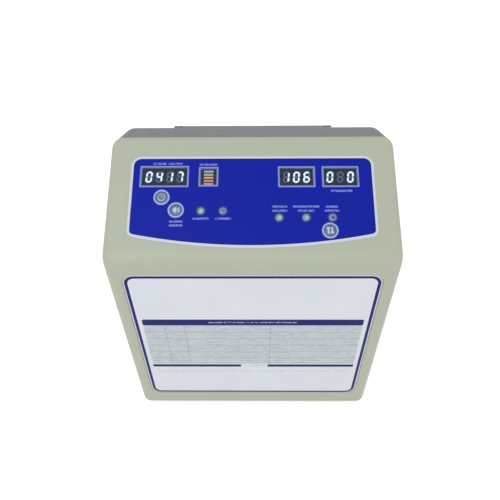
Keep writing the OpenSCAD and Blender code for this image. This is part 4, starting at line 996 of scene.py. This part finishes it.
@dataclass(frozen=True)
class LabelPrint:
    """The face label's print: two navy bars, a tinted table with rules and rows of broken grey lines."""

    name: str
    place: Place
    colour: str = "#E9EDF5"
    tint: str = "#C9D1D5"
    navy: str = "#121C66"
    rule: str = "#8C949C"
    table_y: float = 81.8
    table_w: float = 154.6
    table_h: float = 47.4
    table_low: float = 58.1
    row_h: float = 7.9
    line_h: float = 2.63
    columns: tuple[float, ...] = (-62.0, -48.0, 12.6)
    bars: tuple[tuple[float, ...], ...] = (
        (0, 109.0, 154.8, 6.6, 1.4), (-43.35, 55.3, 68.3, 3.2, 0.4), (44.4, 55.3, 66.2, 3.2, 0.4))
    title: tuple[float, ...] = (0.0, 109.0, 62.0, 1.5)
    foot: tuple[float, ...] = (0.0, 47.6, 148.0, 0.9)
    middle: tuple[float, ...] = (1.0, 55.3, 17.0, 1.2)

    def material(self) -> bpy.types.Material:
        """The node material."""
        paint = Paint(self.name)
        x, y, _ = paint.along(self.place)
        sheet = Print(x, y, 0.35)
        drift = paint.noise(30.0, 3.0)
        paper = paint.blend(drift, linear("#DDE1EA"), linear(self.colour))
        table = sheet.bar(0, self.table_y, self.table_w, self.table_h)
        colour = paint.blend(table * 0.9, paper, linear(self.tint))
        rules = sheet.any_of(*(sheet.bar(at, self.table_y, 0.5, self.table_h) for at in self.columns))
        up = y - self.table_low
        lines = (up % self.row_h).under(0.45, 0.3) * table
        words = paint.noise(2.2, 4.0, (0.45, 1.0, 1.0)).over(0.47, 0.1)
        rows = abs(up % self.line_h - 1.3).under(0.42, 0.3) * words * table
        rows = rows * paint.noise(17.0, 1.0, (1.0, 1.0, 3.0)).over(0.42, 0.2)
        colour = paint.blend(rules.most(lines) * 0.55, colour, linear(self.rule))
        colour = paint.blend(rows * 0.55, colour, linear("#8E959A"))
        bars = sheet.any_of(*(sheet.bar(*bar) for bar in self.bars))
        colour = paint.blend(bars, colour, linear(self.navy))
        title = sheet.bar(*self.title) * paint.noise(1.9, 3.0).over(0.46, 0.14)
        foot = sheet.bar(*self.foot) * words
        middle = sheet.bar(*self.middle) * words
        colour = paint.blend(title * 0.6, colour, linear("#B9BEE2"))
        colour = paint.blend((foot + middle) * 0.35, colour, linear("#777CA0"))
        fine = paint.noise(0.3, 2.0)
        return paint.finish(fine, 0.005, Base_Color=colour, Roughness=(fine - 0.5) * 0.08 + 0.42,
                            Specular_IOR_Level=0.15)


@dataclass
class FaceLabel(Bench):
    """The printed label in the recess of the upright face."""

    datum: Datum
    width: float = 166.7
    height: float = 141.8
    middle: float = 86.0
    corner: float = 8.0
    recess_t: float = 1.0
    thickness: float = 0.5
    rim: float = 0.9
    border: float = 3.0

    def build(self) -> None:
        """Makes the label: bands of its top carry the pale rim, the navy border and the printed field."""
        rows = soft_edge(self.thickness, 0.15) + [(self.rim, self.thickness), (self.border, self.thickness)]
        grid = loft(soft_frame(self.width, self.height, self.corner, 12), rows)
        piece = banded("label", grid, self.datum.face.at(0, self.middle, -self.recess_t))
        rim = Moulded("label_rim", "#DFE1F0", 0.42, 0.04, 0.4, 0.005)
        navy = Moulded("label_border", "#1A1E6C", 0.4, 0.05, 0.4, 0.005, shine=0.15)
        print_ = LabelPrint("label_print", self.datum.face)
        self.dress(piece, [rim, navy, print_], "label_film", stands_for=["face_label"])


@dataclass(frozen=True)
class Gauge:
    """The charge gauge's bars: red below, amber in the middle and pale above, each lit from behind."""

    name: str
    place: Place

    def material(self) -> bpy.types.Material:
        """The node material."""
        paint = Paint(self.name)
        _, y, _ = paint.along(self.place)
        play = paint.noise(2.0, 2.0)
        colour = paint.blend(y.over(0.9, 0.3), linear("#D8BE7E"), linear("#B5C2BA"))
        colour = paint.blend(y.under(-1.1, 0.3), colour, linear("#DC9A86"))
        colour = paint.blend(y.under(-3.3, 0.3), colour, linear("#F29CB4"))
        return paint.finish(play, 0.01, Base_Color=colour, Roughness=0.5 + play * 0.1, Emission_Color=colour,
                            Emission_Strength=0.6)


class Icon(Enum):
    """The generic sign on a button's cap."""

    CLOCK = "clock"
    SOUND = "sound"
    STEP = "step"


@dataclass(frozen=True)
class CapPrint:
    """A button's cap: a pale ring round a grey-blue middle that carries a small sign."""

    name: str
    place: Place
    icon: Icon
    ring: str = "#A6B6EC"
    middle: str = "#5A6A90"
    ink: str = "#D0DCF8"
    ring_r: float = 3.95

    def sign(self, sheet: Print) -> Wire:
        """The sign's mask: a dial with two hands, a horn with a wave, or two steps."""
        if self.icon is Icon.CLOCK:
            dial = sheet.spot(0, 0, 5.2) - sheet.spot(0, 0, 3.9)
            return sheet.any_of(dial, sheet.bar(0, 0.7, 0.6, 1.9), sheet.bar(0.55, 0, 1.5, 0.6)) * 0.6
        if self.icon is Icon.SOUND:
            horn = sheet.any_of(sheet.bar(-1.2, 0, 1.3, 2.0), sheet.bar(-0.2, 0, 1.1, 3.6))
            return horn.most(sheet.bar(1.05, 0, 0.6, 2.0)).most(sheet.bar(2.05, 0, 0.6, 3.6))
        left = sheet.any_of(sheet.bar(-1.15, 0.0, 1.0, 4.2), sheet.bar(-1.15, 1.4, 2.0, 1.2))
        return left.most(sheet.bar(1.15, 0.0, 1.0, 4.2)).most(sheet.bar(1.15, -1.4, 2.0, 1.2))

    def material(self) -> bpy.types.Material:
        """The node material."""
        paint = Paint(self.name)
        x, y, _ = paint.along(self.place)
        sheet = Print(x, y, 0.3)
        out = sheet.reach(0, 0)
        grime = paint.noise(1.4, 3.0)
        colour = paint.blend(out.over(self.ring_r, 0.35), linear(self.middle), linear(self.ring))
        colour = paint.blend(self.sign(sheet) * 0.85, colour, linear(self.ink))
        colour = paint.blend(grime.over(0.55, 0.3) * 0.12, colour, linear("#4A5270"))
        return paint.finish(grime, 0.02, Base_Color=colour, Roughness=(grime - 0.5) * 0.15 + 0.36, Coat_Weight=0.2)


@dataclass(frozen=True)
class LensPrint:
    """An indicator's lens: brighter towards its rim, with a darker core where the light pipe shows."""

    name: str
    place: Place
    rim: str
    core: str
    glow: float = 0.0

    def material(self) -> bpy.types.Material:
        """The node material."""
        paint = Paint(self.name)
        x, y, _ = paint.along(self.place)
        sheet = Print(x, y, 0.3)
        spots = paint.noise(0.8, 2.0)
        middle = sheet.reach(0.25, -0.15).over(1.15, 1.1)
        colour = paint.blend(middle, linear(self.core), linear(self.rim))
        return paint.finish(spots, 0.02, Base_Color=colour, Roughness=0.28 + spots * 0.12, Coat_Weight=0.4,
                            Emission_Color=colour, Emission_Strength=self.glow)


@dataclass
class Console(Bench):
    """Windows, numerals, gauge, buttons and lamps of the sloping console."""

    datum: Datum
    cap_d: float = 10.4
    cap_gap: float = 0.3
    lamp_d: float = 5.0
    wall: float = 2.8
    frame_w: float = 1.15
    counter: tuple[float, float, float, float] = (-56.8, 57.8, 31.8, 15.0)
    gauge: tuple[float, float, float, float] = (-28.2, 57.6, 12.8, 13.8)
    mode: tuple[float, float, float, float] = (28.6, 57.4, 24.0, 14.7)
    level: tuple[float, float, float, float] = (56.8, 57.4, 23.8, 14.7)
    buttons: dict[str, tuple[float, float]] = field(default_factory=lambda: {
        "time_button": (-57.8, 43.2), "mute_button": (-48.3, 34.5), "level_button": (48.6, 20.7)})
    lamps: dict[str, tuple[float, float]] = field(default_factory=lambda: {
        "mains_lamp": (-32.5, 34.1), "battery_lamp": (-18.5, 34.1), "high_lamp": (17.0, 29.5),
        "low_lamp": (34.0, 29.5), "fault_lamp": (50.6, 29.5)})
    lit: dict[str, str] = field(default_factory=lambda: {
        "0": "abcdef", "1": "bc", "4": "bcfg", "6": "acdefg", "7": "abc", " ": ""})
    digit_w: float = 4.3
    digit_h: float = 7.8
    bar_t: float = 1.2
    digit_t: float = 0.25
    lean: float = 0.1

    @property
    def windows(self) -> list[tuple[float, float, float, float]]:
        """All four windows: centre across, centre up, width and height."""
        return [self.counter, self.gauge, self.mode, self.level]

    def frames(self) -> None:
        """Raised frames round the windows: a rounded rectangle's band, round on its top edges."""
        skin, lenses = Skin(), Skin()
        t = self.frame_w
        rows = [(0.0, 0.0), (0.0, 0.75), (0.15, 0.9), (t - 0.15, 0.9), (t, 0.75), (t, 0.0)]
        for x, y, w, h in self.windows:
            skin.add(loft(soft_frame(w, h, 0.5), rows), self.datum.console.at(x, y), hollow=True)
            pane = soft_frame(w - 2 * t - 0.04, h - 2 * t - 0.04, 0.2)
            lenses.add(loft(pane, [(0.0, 0.05), (0.0, 0.45), (0.1, 0.55)]), self.datum.console.at(x, y))
        frame_finish = Moulded("window_frame", "#7F8EE0", 0.42, 0.08, 0.5, 0.01)
        self.dress(skin.build("window_frames"), frame_finish, "display_window", stands_for=["display_windows"])
        self.dress(lenses.build("window_lenses"), Pane("window_pane"), "display_window")
        self.paint("display_modules", Moulded("display_body", "#15181F", 0.42, 0.2, 0.6, 0.01))

    def bar(self, x: float, y: float, length: float, turn: bool) -> np.ndarray:
        """A bar of a numeral: a hexagon with pointed ends, length long, drawn up by the bar's thickness."""
        a, t = length / 2, self.bar_t / 2
        six = np.array([[-a, 0], [t - a, -t], [a - t, -t], [a, 0], [a - t, t], [t - a, t]])
        six = six[:, ::-1] * np.array([-1, 1]) if turn else six
        flat = six + np.array([x, y])
        flat[:, 0] += self.lean * flat[:, 1]
        rings = [np.column_stack([flat, np.full(6, z)]) for z in (-self.digit_t, 0.0)]
        return np.stack(rings)

    def numeral(self, sign: str, place: Place, bright: Skin, dark: Skin) -> None:
        """Adds a numeral's seven bars, each to the lit or the unlit skin."""
        w, h = (self.digit_w - self.bar_t) / 2, (self.digit_h - self.bar_t) / 2
        across, upright = 2 * w - 0.2, h - 0.2
        bars = {"a": (0, h, across, False), "g": (0, 0, across, False), "d": (0, -h, across, False),
                "f": (-w, h / 2, upright, True), "b": (w, h / 2, upright, True),
                "e": (-w, -h / 2, upright, True), "c": (w, -h / 2, upright, True)}
        for name, row in bars.items():
            (bright if name in self.lit[sign] else dark).add(self.bar(*row), place)

    def digits(self, name: str, window: tuple[float, float, float, float], text: str, pitch: float) -> None:
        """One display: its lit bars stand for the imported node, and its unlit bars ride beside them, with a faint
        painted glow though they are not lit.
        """
        bright, dark = Skin(), Skin()
        for i, sign in enumerate(text):
            place = self.datum.console.at(window[0] + (i - (len(text) - 1) / 2) * pitch, window[1])
            self.numeral(sign, place, bright, dark)
        self.dress(bright.build(name + "_lit"), Glow(name + "_light", "#D8F0FF", 1.35), "lit_segment",
                   stands_for=[name + "_digits"])
        # The unlit bars get a faint emission: a painted glow, as these bars give no light.
        self.dress(dark.build(name + "_unlit"), Glow(name + "_painted_glow", "#6E7894", 0.3), "lit_segment")

    def charge(self) -> None:
        """Five bars of the charge gauge, with round corners and edges."""
        skin = Skin()
        place = self.datum.console.at(self.gauge[0], self.gauge[1])
        for i in range(-2, 3):
            skin.add(loft(soft_frame(6.2, 1.4, 0.3), soft_edge(self.digit_t, 0.1)),
                     place.at(0, 2.2 * i - 0.45, -self.digit_t))
        self.dress(skin.build("gauge_bars"), Gauge("gauge_light", place), "charge_segment",
                   stands_for=["charge_bars"])

    def button(self, node: str, icon: Icon) -> None:
        """A push button turned in one piece: stem, flange, cap with a raised round ring and a dished, domed middle."""
        place = self.datum.console.at(*self.buttons[node])
        r, under = self.cap_d / 2, -self.wall - 0.05
        ring = [(r - 0.62 + 0.62 * math.cos(a), 0.95 + 0.55 * math.sin(a)) for a in np.linspace(0, np.pi, 13)]
        dome = [(3.75 * math.cos(a), 0.72 + 0.75 * math.sin(a)) for a in np.linspace(0.05, 1.52, 9)]
        rows = [(2.0, -4.85), (2.0, under - 1.0), (6.2, under - 1.0), (6.2, under), (r, under)] + ring
        rows += [(r - 1.3, 0.7), (3.75, 0.7)] + dome
        piece = Skin().add(turned_form(rows, 72), place).build(node + "_cap")
        self.dress(piece, CapPrint(node + "_print", place, icon), "button_cap", body=node, stands_for=[node])

    def lamp(self, node: str, rim: str, core: str, glow: float, slot: str) -> None:
        """A light pipe turned in one piece: a stem and a low dome."""
        place = self.datum.console.at(*self.lamps[node])
        r = self.lamp_d / 2
        dome = [(r * math.cos(a), 0.5 + 0.4 * math.sin(a)) for a in np.linspace(0, 1.5, 9)]
        piece = Skin().add(turned_form([(r, -10.0)] + dome), place).build(node + "_lens")
        self.dress(piece, LensPrint(node + "_light", place, rim, core, glow), slot, stands_for=[node])

    def collars(self) -> None:
        """Collars round the lamps, each a low round band on the film, dark to paint the shade of a recess round each
        lamp.
        """
        skin = Skin()
        r = self.lamp_d / 2 + 0.12
        rows = [(r, 0.3), (r, 0.8), (r + 0.2, 0.9), (r + 0.55, 0.75), (r + 0.75, 0.6), (r + 0.75, 0.3)]
        for x, y in self.lamps.values():
            skin.add(turned_form(rows), self.datum.console.at(x, y), hollow=True)
        # Their dark navy is painted shade, standing for the shade in a recess of the film round each lamp.
        self.dress(skin.build("lamp_collars"), Moulded("collar_painted_shade", "#171C6A", 0.4, 0.08, 0.4, 0.01), "blue_film")

    def build(self) -> None:
        """Makes the sub-assembly."""
        self.frames()
        self.digits("counter", self.counter, "0417", 6.7)
        self.digits("mode", self.mode, "106", 6.6)
        self.digits("level", self.level, "0 0", 6.6)
        self.charge()
        for node, icon in zip(self.buttons, (Icon.CLOCK, Icon.SOUND, Icon.STEP)):
            self.button(node, icon)
        self.lamp("mains_lamp", "#56829A", "#A0BFB8", 0.08, "lamp_lens")
        self.lamp("battery_lamp", "#6F82B8", "#4D62A4", 0.0, "lamp_lens_off")
        # The high and low lamps are off: their small emission is a painted glow.
        self.lamp("high_lamp", "#5F8BA8", "#A3C2C8", 0.04, "lamp_lens_off")
        self.lamp("low_lamp", "#6487AC", "#9DB9CC", 0.04, "lamp_lens_off")
        self.lamp("fault_lamp", "#7F84C4", "#2C3286", 0.0, "lamp_lens_off")
        self.collars()
        self.paint("display_board", Board("display_board_mask"))
        self.paint("ribbon_cable", Ribbon("ribbon_sleeve"))


@dataclass(frozen=True)
class Pane:
    """A tinted pane: dark glass that lets the numerals through, with faint smears in its gloss."""

    name: str
    colour: str = "#1A2A58"
    clear: float = 0.78

    def material(self) -> bpy.types.Material:
        """The node material."""
        paint = Paint(self.name)
        smear = paint.noise(7.0, 3.0)
        alpha = 1.0 - self.clear + (smear - 0.5) * 0.06
        return paint.finish(smear, 0.004, Base_Color=linear(self.colour), Roughness=(smear - 0.5) * 0.1 + 0.14,
                            Alpha=alpha)


@dataclass(frozen=True)
class Ribbon:
    """Flat cable: grey conductors side by side, with one marked edge."""

    name: str

    def material(self) -> bpy.types.Material:
        """The node material: conductors repeat every 1.27 mm across the cable."""
        paint = Paint(self.name)
        x, _, _ = paint.along(Place())
        wave = abs(x % 1.27 - 0.635) / 0.635
        colour = paint.blend(wave, linear("#8C8F93"), linear("#B4B6B8"))
        colour = paint.blend(x.under(-10.9, 0.1), colour, linear("#A8352E"))
        return paint.finish(wave, 0.15, Base_Color=colour, Roughness=0.5 + paint.noise(3.0) * 0.1)


@dataclass(frozen=True)
class RockerPrint:
    """A rocker's face: black, with a white bar on its one half and a white ring on the other."""

    name: str
    place: Place

    def material(self) -> bpy.types.Material:
        """The node material."""
        paint = Paint(self.name)
        x, y, z = paint.along(self.place)
        sheet = Print(x, y, 0.2)
        ring = sheet.spot(0, -4.4, 3.4) - sheet.spot(0, -4.4, 2.5)
        marks = ring.most(sheet.bar(0, 4.4, 0.55, 3.0)) * z.over(0.8, 0.4)
        fine = paint.noise(0.5, 2.0)
        colour = paint.blend(fine, linear("#151516"), linear("#202022"))
        colour = paint.blend(marks, colour, linear("#E6E7E8"))
        return paint.finish(fine, 0.015, Base_Color=colour, Roughness=(fine - 0.5) * 0.12 + 0.36)


@dataclass(frozen=True)
class PlatePrint:
    """The blank rating plate: satin metal with an etched border and four etched rules."""

    name: str
    place: Place
    width: float = 52.0
    height: float = 24.0

    def material(self) -> bpy.types.Material:
        """The node material."""
        paint = Paint(self.name)
        x, y, _ = paint.along(self.place)
        sheet = Print(x, y, 0.12)
        border = sheet.bar(0, 0, self.width - 2.4, self.height - 2.4, 1.2)
        border = border - sheet.bar(0, 0, self.width - 3.2, self.height - 3.2, 0.9)
        rules = sheet.any_of(*(sheet.bar(0, at, self.width - 10, 0.3) for at in (-6.0, -2.0, 2.0, 6.0)))
        etched = border.most(rules)
        marks = paint.noise(0.5, 4.0, (0.03, 1.0, 1.0))
        colour = paint.blend(marks, linear("#B4B6B9"), linear("#CBCDCF"))
        colour = paint.blend(etched * 0.8, colour, linear("#55585C"))
        return paint.finish(marks - etched, 0.02, Base_Color=colour, Roughness=marks * 0.15 + 0.3,
                            Metallic=1.0 - etched * 0.7)


@dataclass
class RearFittings(Bench):
    """Inlet, fuses, switch, vent, hose outlets, latches and rating plate on the back."""

    datum: Datum
    switch: tuple[float, float] = (-68.0, 74.0)
    plate: tuple[float, float] = (-14.0, 98.0)
    black: Moulded = Moulded("fitting_black", "#1A1A1C", 0.44, 0.12, 0.6, 0.02)

    def softened(self, node: str, edge: float, finish: object, slot: str, body: str = "case") -> None:
        """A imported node's copy with its sharp edges rounded."""
        self.dress(eased(copy_of(node, node + "_form"), edge), finish, slot, body=body, stands_for=[node])

    def build(self) -> None:
        """Makes the sub-assembly."""
        self.softened("mains_inlet", 0.35, self.black, "inlet_plastic")
        self.softened("fuse_holders", 0.3, self.black, "inlet_plastic")
        self.softened("switch_frame", 0.3, self.black, "inlet_plastic")
        face = self.datum.back.at(self.switch[0] * -1, self.switch[1], -1.0).turned(8.0)
        self.softened("power_rocker", 0.3, RockerPrint("rocker_print", face), "rocker_plastic", body="power_rocker")
        self.softened("vent_cover", 0.3, Moulded("vent_grey", "#62676A", 0.5, 0.06, 0.6, 0.03), "case_grey")
        self.softened("hose_outlets", 0.4, Moulded("outlet_grey", "#B9BBB9", 0.42, 0.06, 0.6, 0.02),
                      "outlet_plastic")
        for node in ("left_latch", "right_latch"):
            self.softened(node, 0.3, Moulded(node + "_grey", "#3C4044", 0.42, 0.08, 0.5, 0.02), "latch_plastic",
                          body=node)
        plate = self.datum.back.at(self.plate[0] * -1, self.plate[1])
        self.softened("rating_plate", 0.08, PlatePrint("plate_print", plate), "plate_metal")
        self.paint("inlet_pins", Metal("pin_nickel", "#C9C5B8", 0.28))
        self.paint("air_filter", Foam("filter_foam"))


@dataclass
class BedHook(Bench):
    """The fold-out hook with its brackets, pins and pads."""

    datum: Datum
    margin: float = 0.15

    def spare(self) -> bpy.types.Object:
        """A tool for what the brackets' ears have outside the hook's barrel.

        Its section runs up the barrel's outer side, round over its top by (r cos a, r sin a) and out to a frame
        that clears the ears, and it is carried across the width.
        """
        low, high = (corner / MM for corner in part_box("hook_pins"))
        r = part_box("bed_hook")[1].z / MM - (low.z + high.z) / 2 + self.margin
        arc = [(r * math.cos(a), r * math.sin(a)) for a in np.linspace(0, np.pi, 25)]
        section = np.array([(r, -40.0)] + arc + [(-r - 6, 0.0), (-r - 6, 20.0), (25.0, 20.0), (25.0, -40.0)])
        grid = loft(lambda inset: section, [(0.0, -80.0), (0.0, 80.0)])
        return Skin().add(grid, Place((0.0, (low.y + high.y) / 2, (low.z + high.z) / 2), 90.0, 90.0)).build("spare")

    def build(self) -> None:
        """Makes the sub-assembly: the brackets' ears are level with the hook's barrel."""
        hook = eased(copy_of("bed_hook", "hook_form"), 0.8)
        self.dress(hook, Moulded("hook_grey", "#7E8483", 0.48, 0.06, 0.6, 0.035), "hook_plastic", body="bed_hook",
                   stands_for=["bed_hook"])
        brackets = eased(carved(copy_of("hook_brackets", "bracket_form"), self.spare()), 0.5)
        self.dress(brackets, Moulded("bracket_grey", "#6F7876", 0.5, 0.06, 0.6, 0.04), "case_grey",
                   stands_for=["hook_brackets"])
        pads = eased(copy_of("hook_pads", "pad_form"), 0.4)
        self.dress(pads, Rubber("pad_rubber"), "rubber_black", body="bed_hook", stands_for=["hook_pads"])
        self.paint("hook_pins", Metal("hook_pin_steel", "#B9BABC", 0.3))


@dataclass
class Works(Bench):
    """Everything inside the case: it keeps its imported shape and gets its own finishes."""

    finishes: dict[str, object] = field(default_factory=lambda: {
        "main_board": Board("main_board_mask"),
        "power_board": Board("power_board_mask", "#1A5A2E"),
        "power_transformer": Metal("core_varnish", "#8A6F2C", 0.5, (1.0, 1.0, 0.05), 0.8, 0.05),
        "battery_pack": Moulded("battery_wrap", "#2A4C9A", 0.3, 0.1, 3.0, 0.05, 0.3),
        "battery_strap": Metal("strap_steel", "#B2B5B8", 0.35),
        "chassis_tray": Metal("tray_steel", "#B0B3B6", 0.38),
        "pump_plate": Metal("plate_steel", "#AEB1B4", 0.36),
        "pump_mounts": Rubber("mount_rubber"),
        "pump_housing": Metal("housing_cast", "#A9ACAE", 0.5, (1.0, 1.0, 1.0), 1.2, 0.08),
        "pump_head": Metal("head_cast", "#A2A5A8", 0.5, (1.0, 1.0, 1.0), 1.2, 0.08),
        "pump_motor": Metal("motor_can", "#8D9195", 0.32, (0.04, 1.0, 1.0)),
        "pump_crank": Metal("crank_steel", "#C2C3C5", 0.25),
        "connecting_rod": Moulded("rod_white", "#D8D8CE", 0.45),
        "pump_diaphragm": Rubber("diaphragm_rubber"),
        "valve_manifold": Moulded("manifold_white", "#DCDCD2", 0.42),
        "valve_coils": Metal("coil_wrap", "#7A4B2A", 0.5, (1.0, 0.05, 1.0), 0.5, 0.05),
        "left_plunger": Metal("left_plunger_steel", "#C2C3C5", 0.25),
        "right_plunger": Metal("right_plunger_steel", "#C2C3C5", 0.25),
        "air_tubes": Rubber("tube_clear", "#C3C9C4", 0.35, 1.5, 0.25),
        "wiring": Rubber("wire_sleeve", "#9C2A24", 0.45, 1.2),
        "machine_screws": Metal("machine_screw_steel", "#A6A7AA", 0.32),
    })

    def build(self) -> None:
        """Dresses every node inside the case."""
        for node, finish in self.finishes.items():
            self.paint(node, finish)


# ---------------------------------------------------------------- studio


@dataclass
class Studio:
    """Plain pale floor, soft light and the camera of the picture."""

    frame_px: float = 500.0
    focal_px: float = 477.8
    sensor: float = 36.0
    pitch: float = 43.51
    yaw: float = -0.89
    roll: float = -0.69
    eye: tuple[float, float, float] = (2.0, -206.7, 378.6)
    floor_size: float = 8.0
    floor_lift: float = 0.46
    sky: float = 0.6
    key_w: float = 5.4
    fill_w: float = 1.0

    def camera(self, face_y: float) -> None:
        """The camera: its eye is given from the upright face, and it looks down, turned by yaw and roll."""
        pitch, yaw, roll = (math.radians(a) for a in (self.pitch, self.yaw, self.roll))
        forward = Vector((math.sin(yaw) * math.cos(pitch), math.cos(yaw) * math.cos(pitch), -math.sin(pitch)))
        right = Vector((math.cos(yaw), -math.sin(yaw), 0.0))
        up = right.cross(forward)
        across = math.cos(roll) * right + math.sin(roll) * up
        upward = math.cos(roll) * up - math.sin(roll) * right
        data = bpy.data.cameras.new("camera")
        data.sensor_width = self.sensor
        data.lens = self.sensor * self.focal_px / self.frame_px
        data.clip_start, data.clip_end = 0.01, 50.0
        made = bpy.data.objects.new("camera", data)
        bpy.context.scene.collection.objects.link(made)
        turn = Matrix((across, upward, -forward)).transposed().to_4x4()
        spot = Vector((self.eye[0], face_y + self.eye[1], self.eye[2])) * MM
        made.matrix_world = Matrix.Translation(spot) @ turn
        bpy.context.scene.camera = made

    def lamp(self, name: str, spot: tuple[float, float, float], size: float, power: float) -> None:
        """A square soft lamp that faces the middle of the pump."""
        data = bpy.data.lights.new(name, "AREA")
        data.shape, data.size, data.energy = "SQUARE", size, power
        made = bpy.data.objects.new(name, data)
        bpy.context.scene.collection.objects.link(made)
        made.location = spot
        aim = Vector((0.0, 0.0, 0.12)) - Vector(spot)
        made.rotation_euler = aim.to_track_quat("-Z", "Y").to_euler()

    def sky_light(self) -> None:
        """An even pale sky: white where the camera, a mirror or glass sees it, and softer where it lights."""
        world = bpy.data.worlds.new("sky")
        world.use_nodes = True
        bpy.context.scene.world = world
        tree = world.node_tree
        tree.nodes.clear()
        path = tree.nodes.new("ShaderNodeLightPath")
        seen, mirrored = (tree.nodes.new("ShaderNodeMath") for _ in range(2))
        seen.operation = mirrored.operation = "MAXIMUM"
        tree.links.new(path.outputs["Is Glossy Ray"], mirrored.inputs[0])
        tree.links.new(path.outputs["Is Transmission Ray"], mirrored.inputs[1])
        tree.links.new(path.outputs["Is Camera Ray"], seen.inputs[0])
        tree.links.new(mirrored.outputs[0], seen.inputs[1])
        level = tree.nodes.new("ShaderNodeMapRange")
        level.inputs["To Min"].default_value = self.sky
        level.inputs["To Max"].default_value = 1.0
        tree.links.new(seen.outputs[0], level.inputs["Value"])
        light = tree.nodes.new("ShaderNodeBackground")
        light.inputs["Color"].default_value = (1.0, 1.0, 1.0, 1.0)
        tree.links.new(level.outputs[0], light.inputs["Strength"])
        output = tree.nodes.new("ShaderNodeOutputWorld")
        tree.links.new(light.outputs[0], output.inputs[0])

    def floor(self) -> None:
        """A wide floor whose colour drifts faintly: the camera and mirrors see it lifted to white, with its shadows."""
        half = self.floor_size / 2 / MM
        skin = Skin().add(loft(soft_frame(2 * half, 2 * half, 100.0), [(0.0, -20.0), (0.0, -0.02)]))
        piece = skin.build("floor")
        paint = Paint("floor_pale")
        soft = paint.noise(400.0, 2.0)
        colour = paint.blend(soft, linear("#F7F7F7"), linear("#FBFBFB"))
        path = paint.node("LightPath", {}, {})
        seen = Wire(paint, path.outputs["Is Camera Ray"]).most(Wire(paint, path.outputs["Is Glossy Ray"]))
        lift = seen.most(Wire(paint, path.outputs["Is Transmission Ray"])) * self.floor_lift
        piece.data.materials.append(paint.finish(Base_Color=colour, Roughness=0.9, Emission_Color=(1, 1, 1, 1),
                                                 Emission_Strength=lift))

    def build(self, face_y: float) -> None:
        """Sets the scene up."""
        self.camera(face_y)
        self.floor()
        self.sky_light()
        self.lamp("key", (-0.35, -0.75, 1.15), 0.9, self.key_w)
        self.lamp("fill", (0.9, -0.6, 0.55), 0.8, self.fill_w)
        bpy.context.scene.view_settings.view_transform = "Standard"


def main() -> None:
    """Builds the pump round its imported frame, piece by piece."""
    logging.basicConfig(level=logging.INFO, format="%(name)s: %(message)s")
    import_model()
    datum = Datum()
    studio = Studio()
    studio.build(datum.face_y)
    console = Console(datum)
    Case(datum).build()
    ControlFilm(datum).build(console)
    FaceLabel(datum).build()
    console.build()
    RearFittings(datum).build()
    BedHook(datum).build()
    Works().build()


if __name__ == "__main__":
    main()
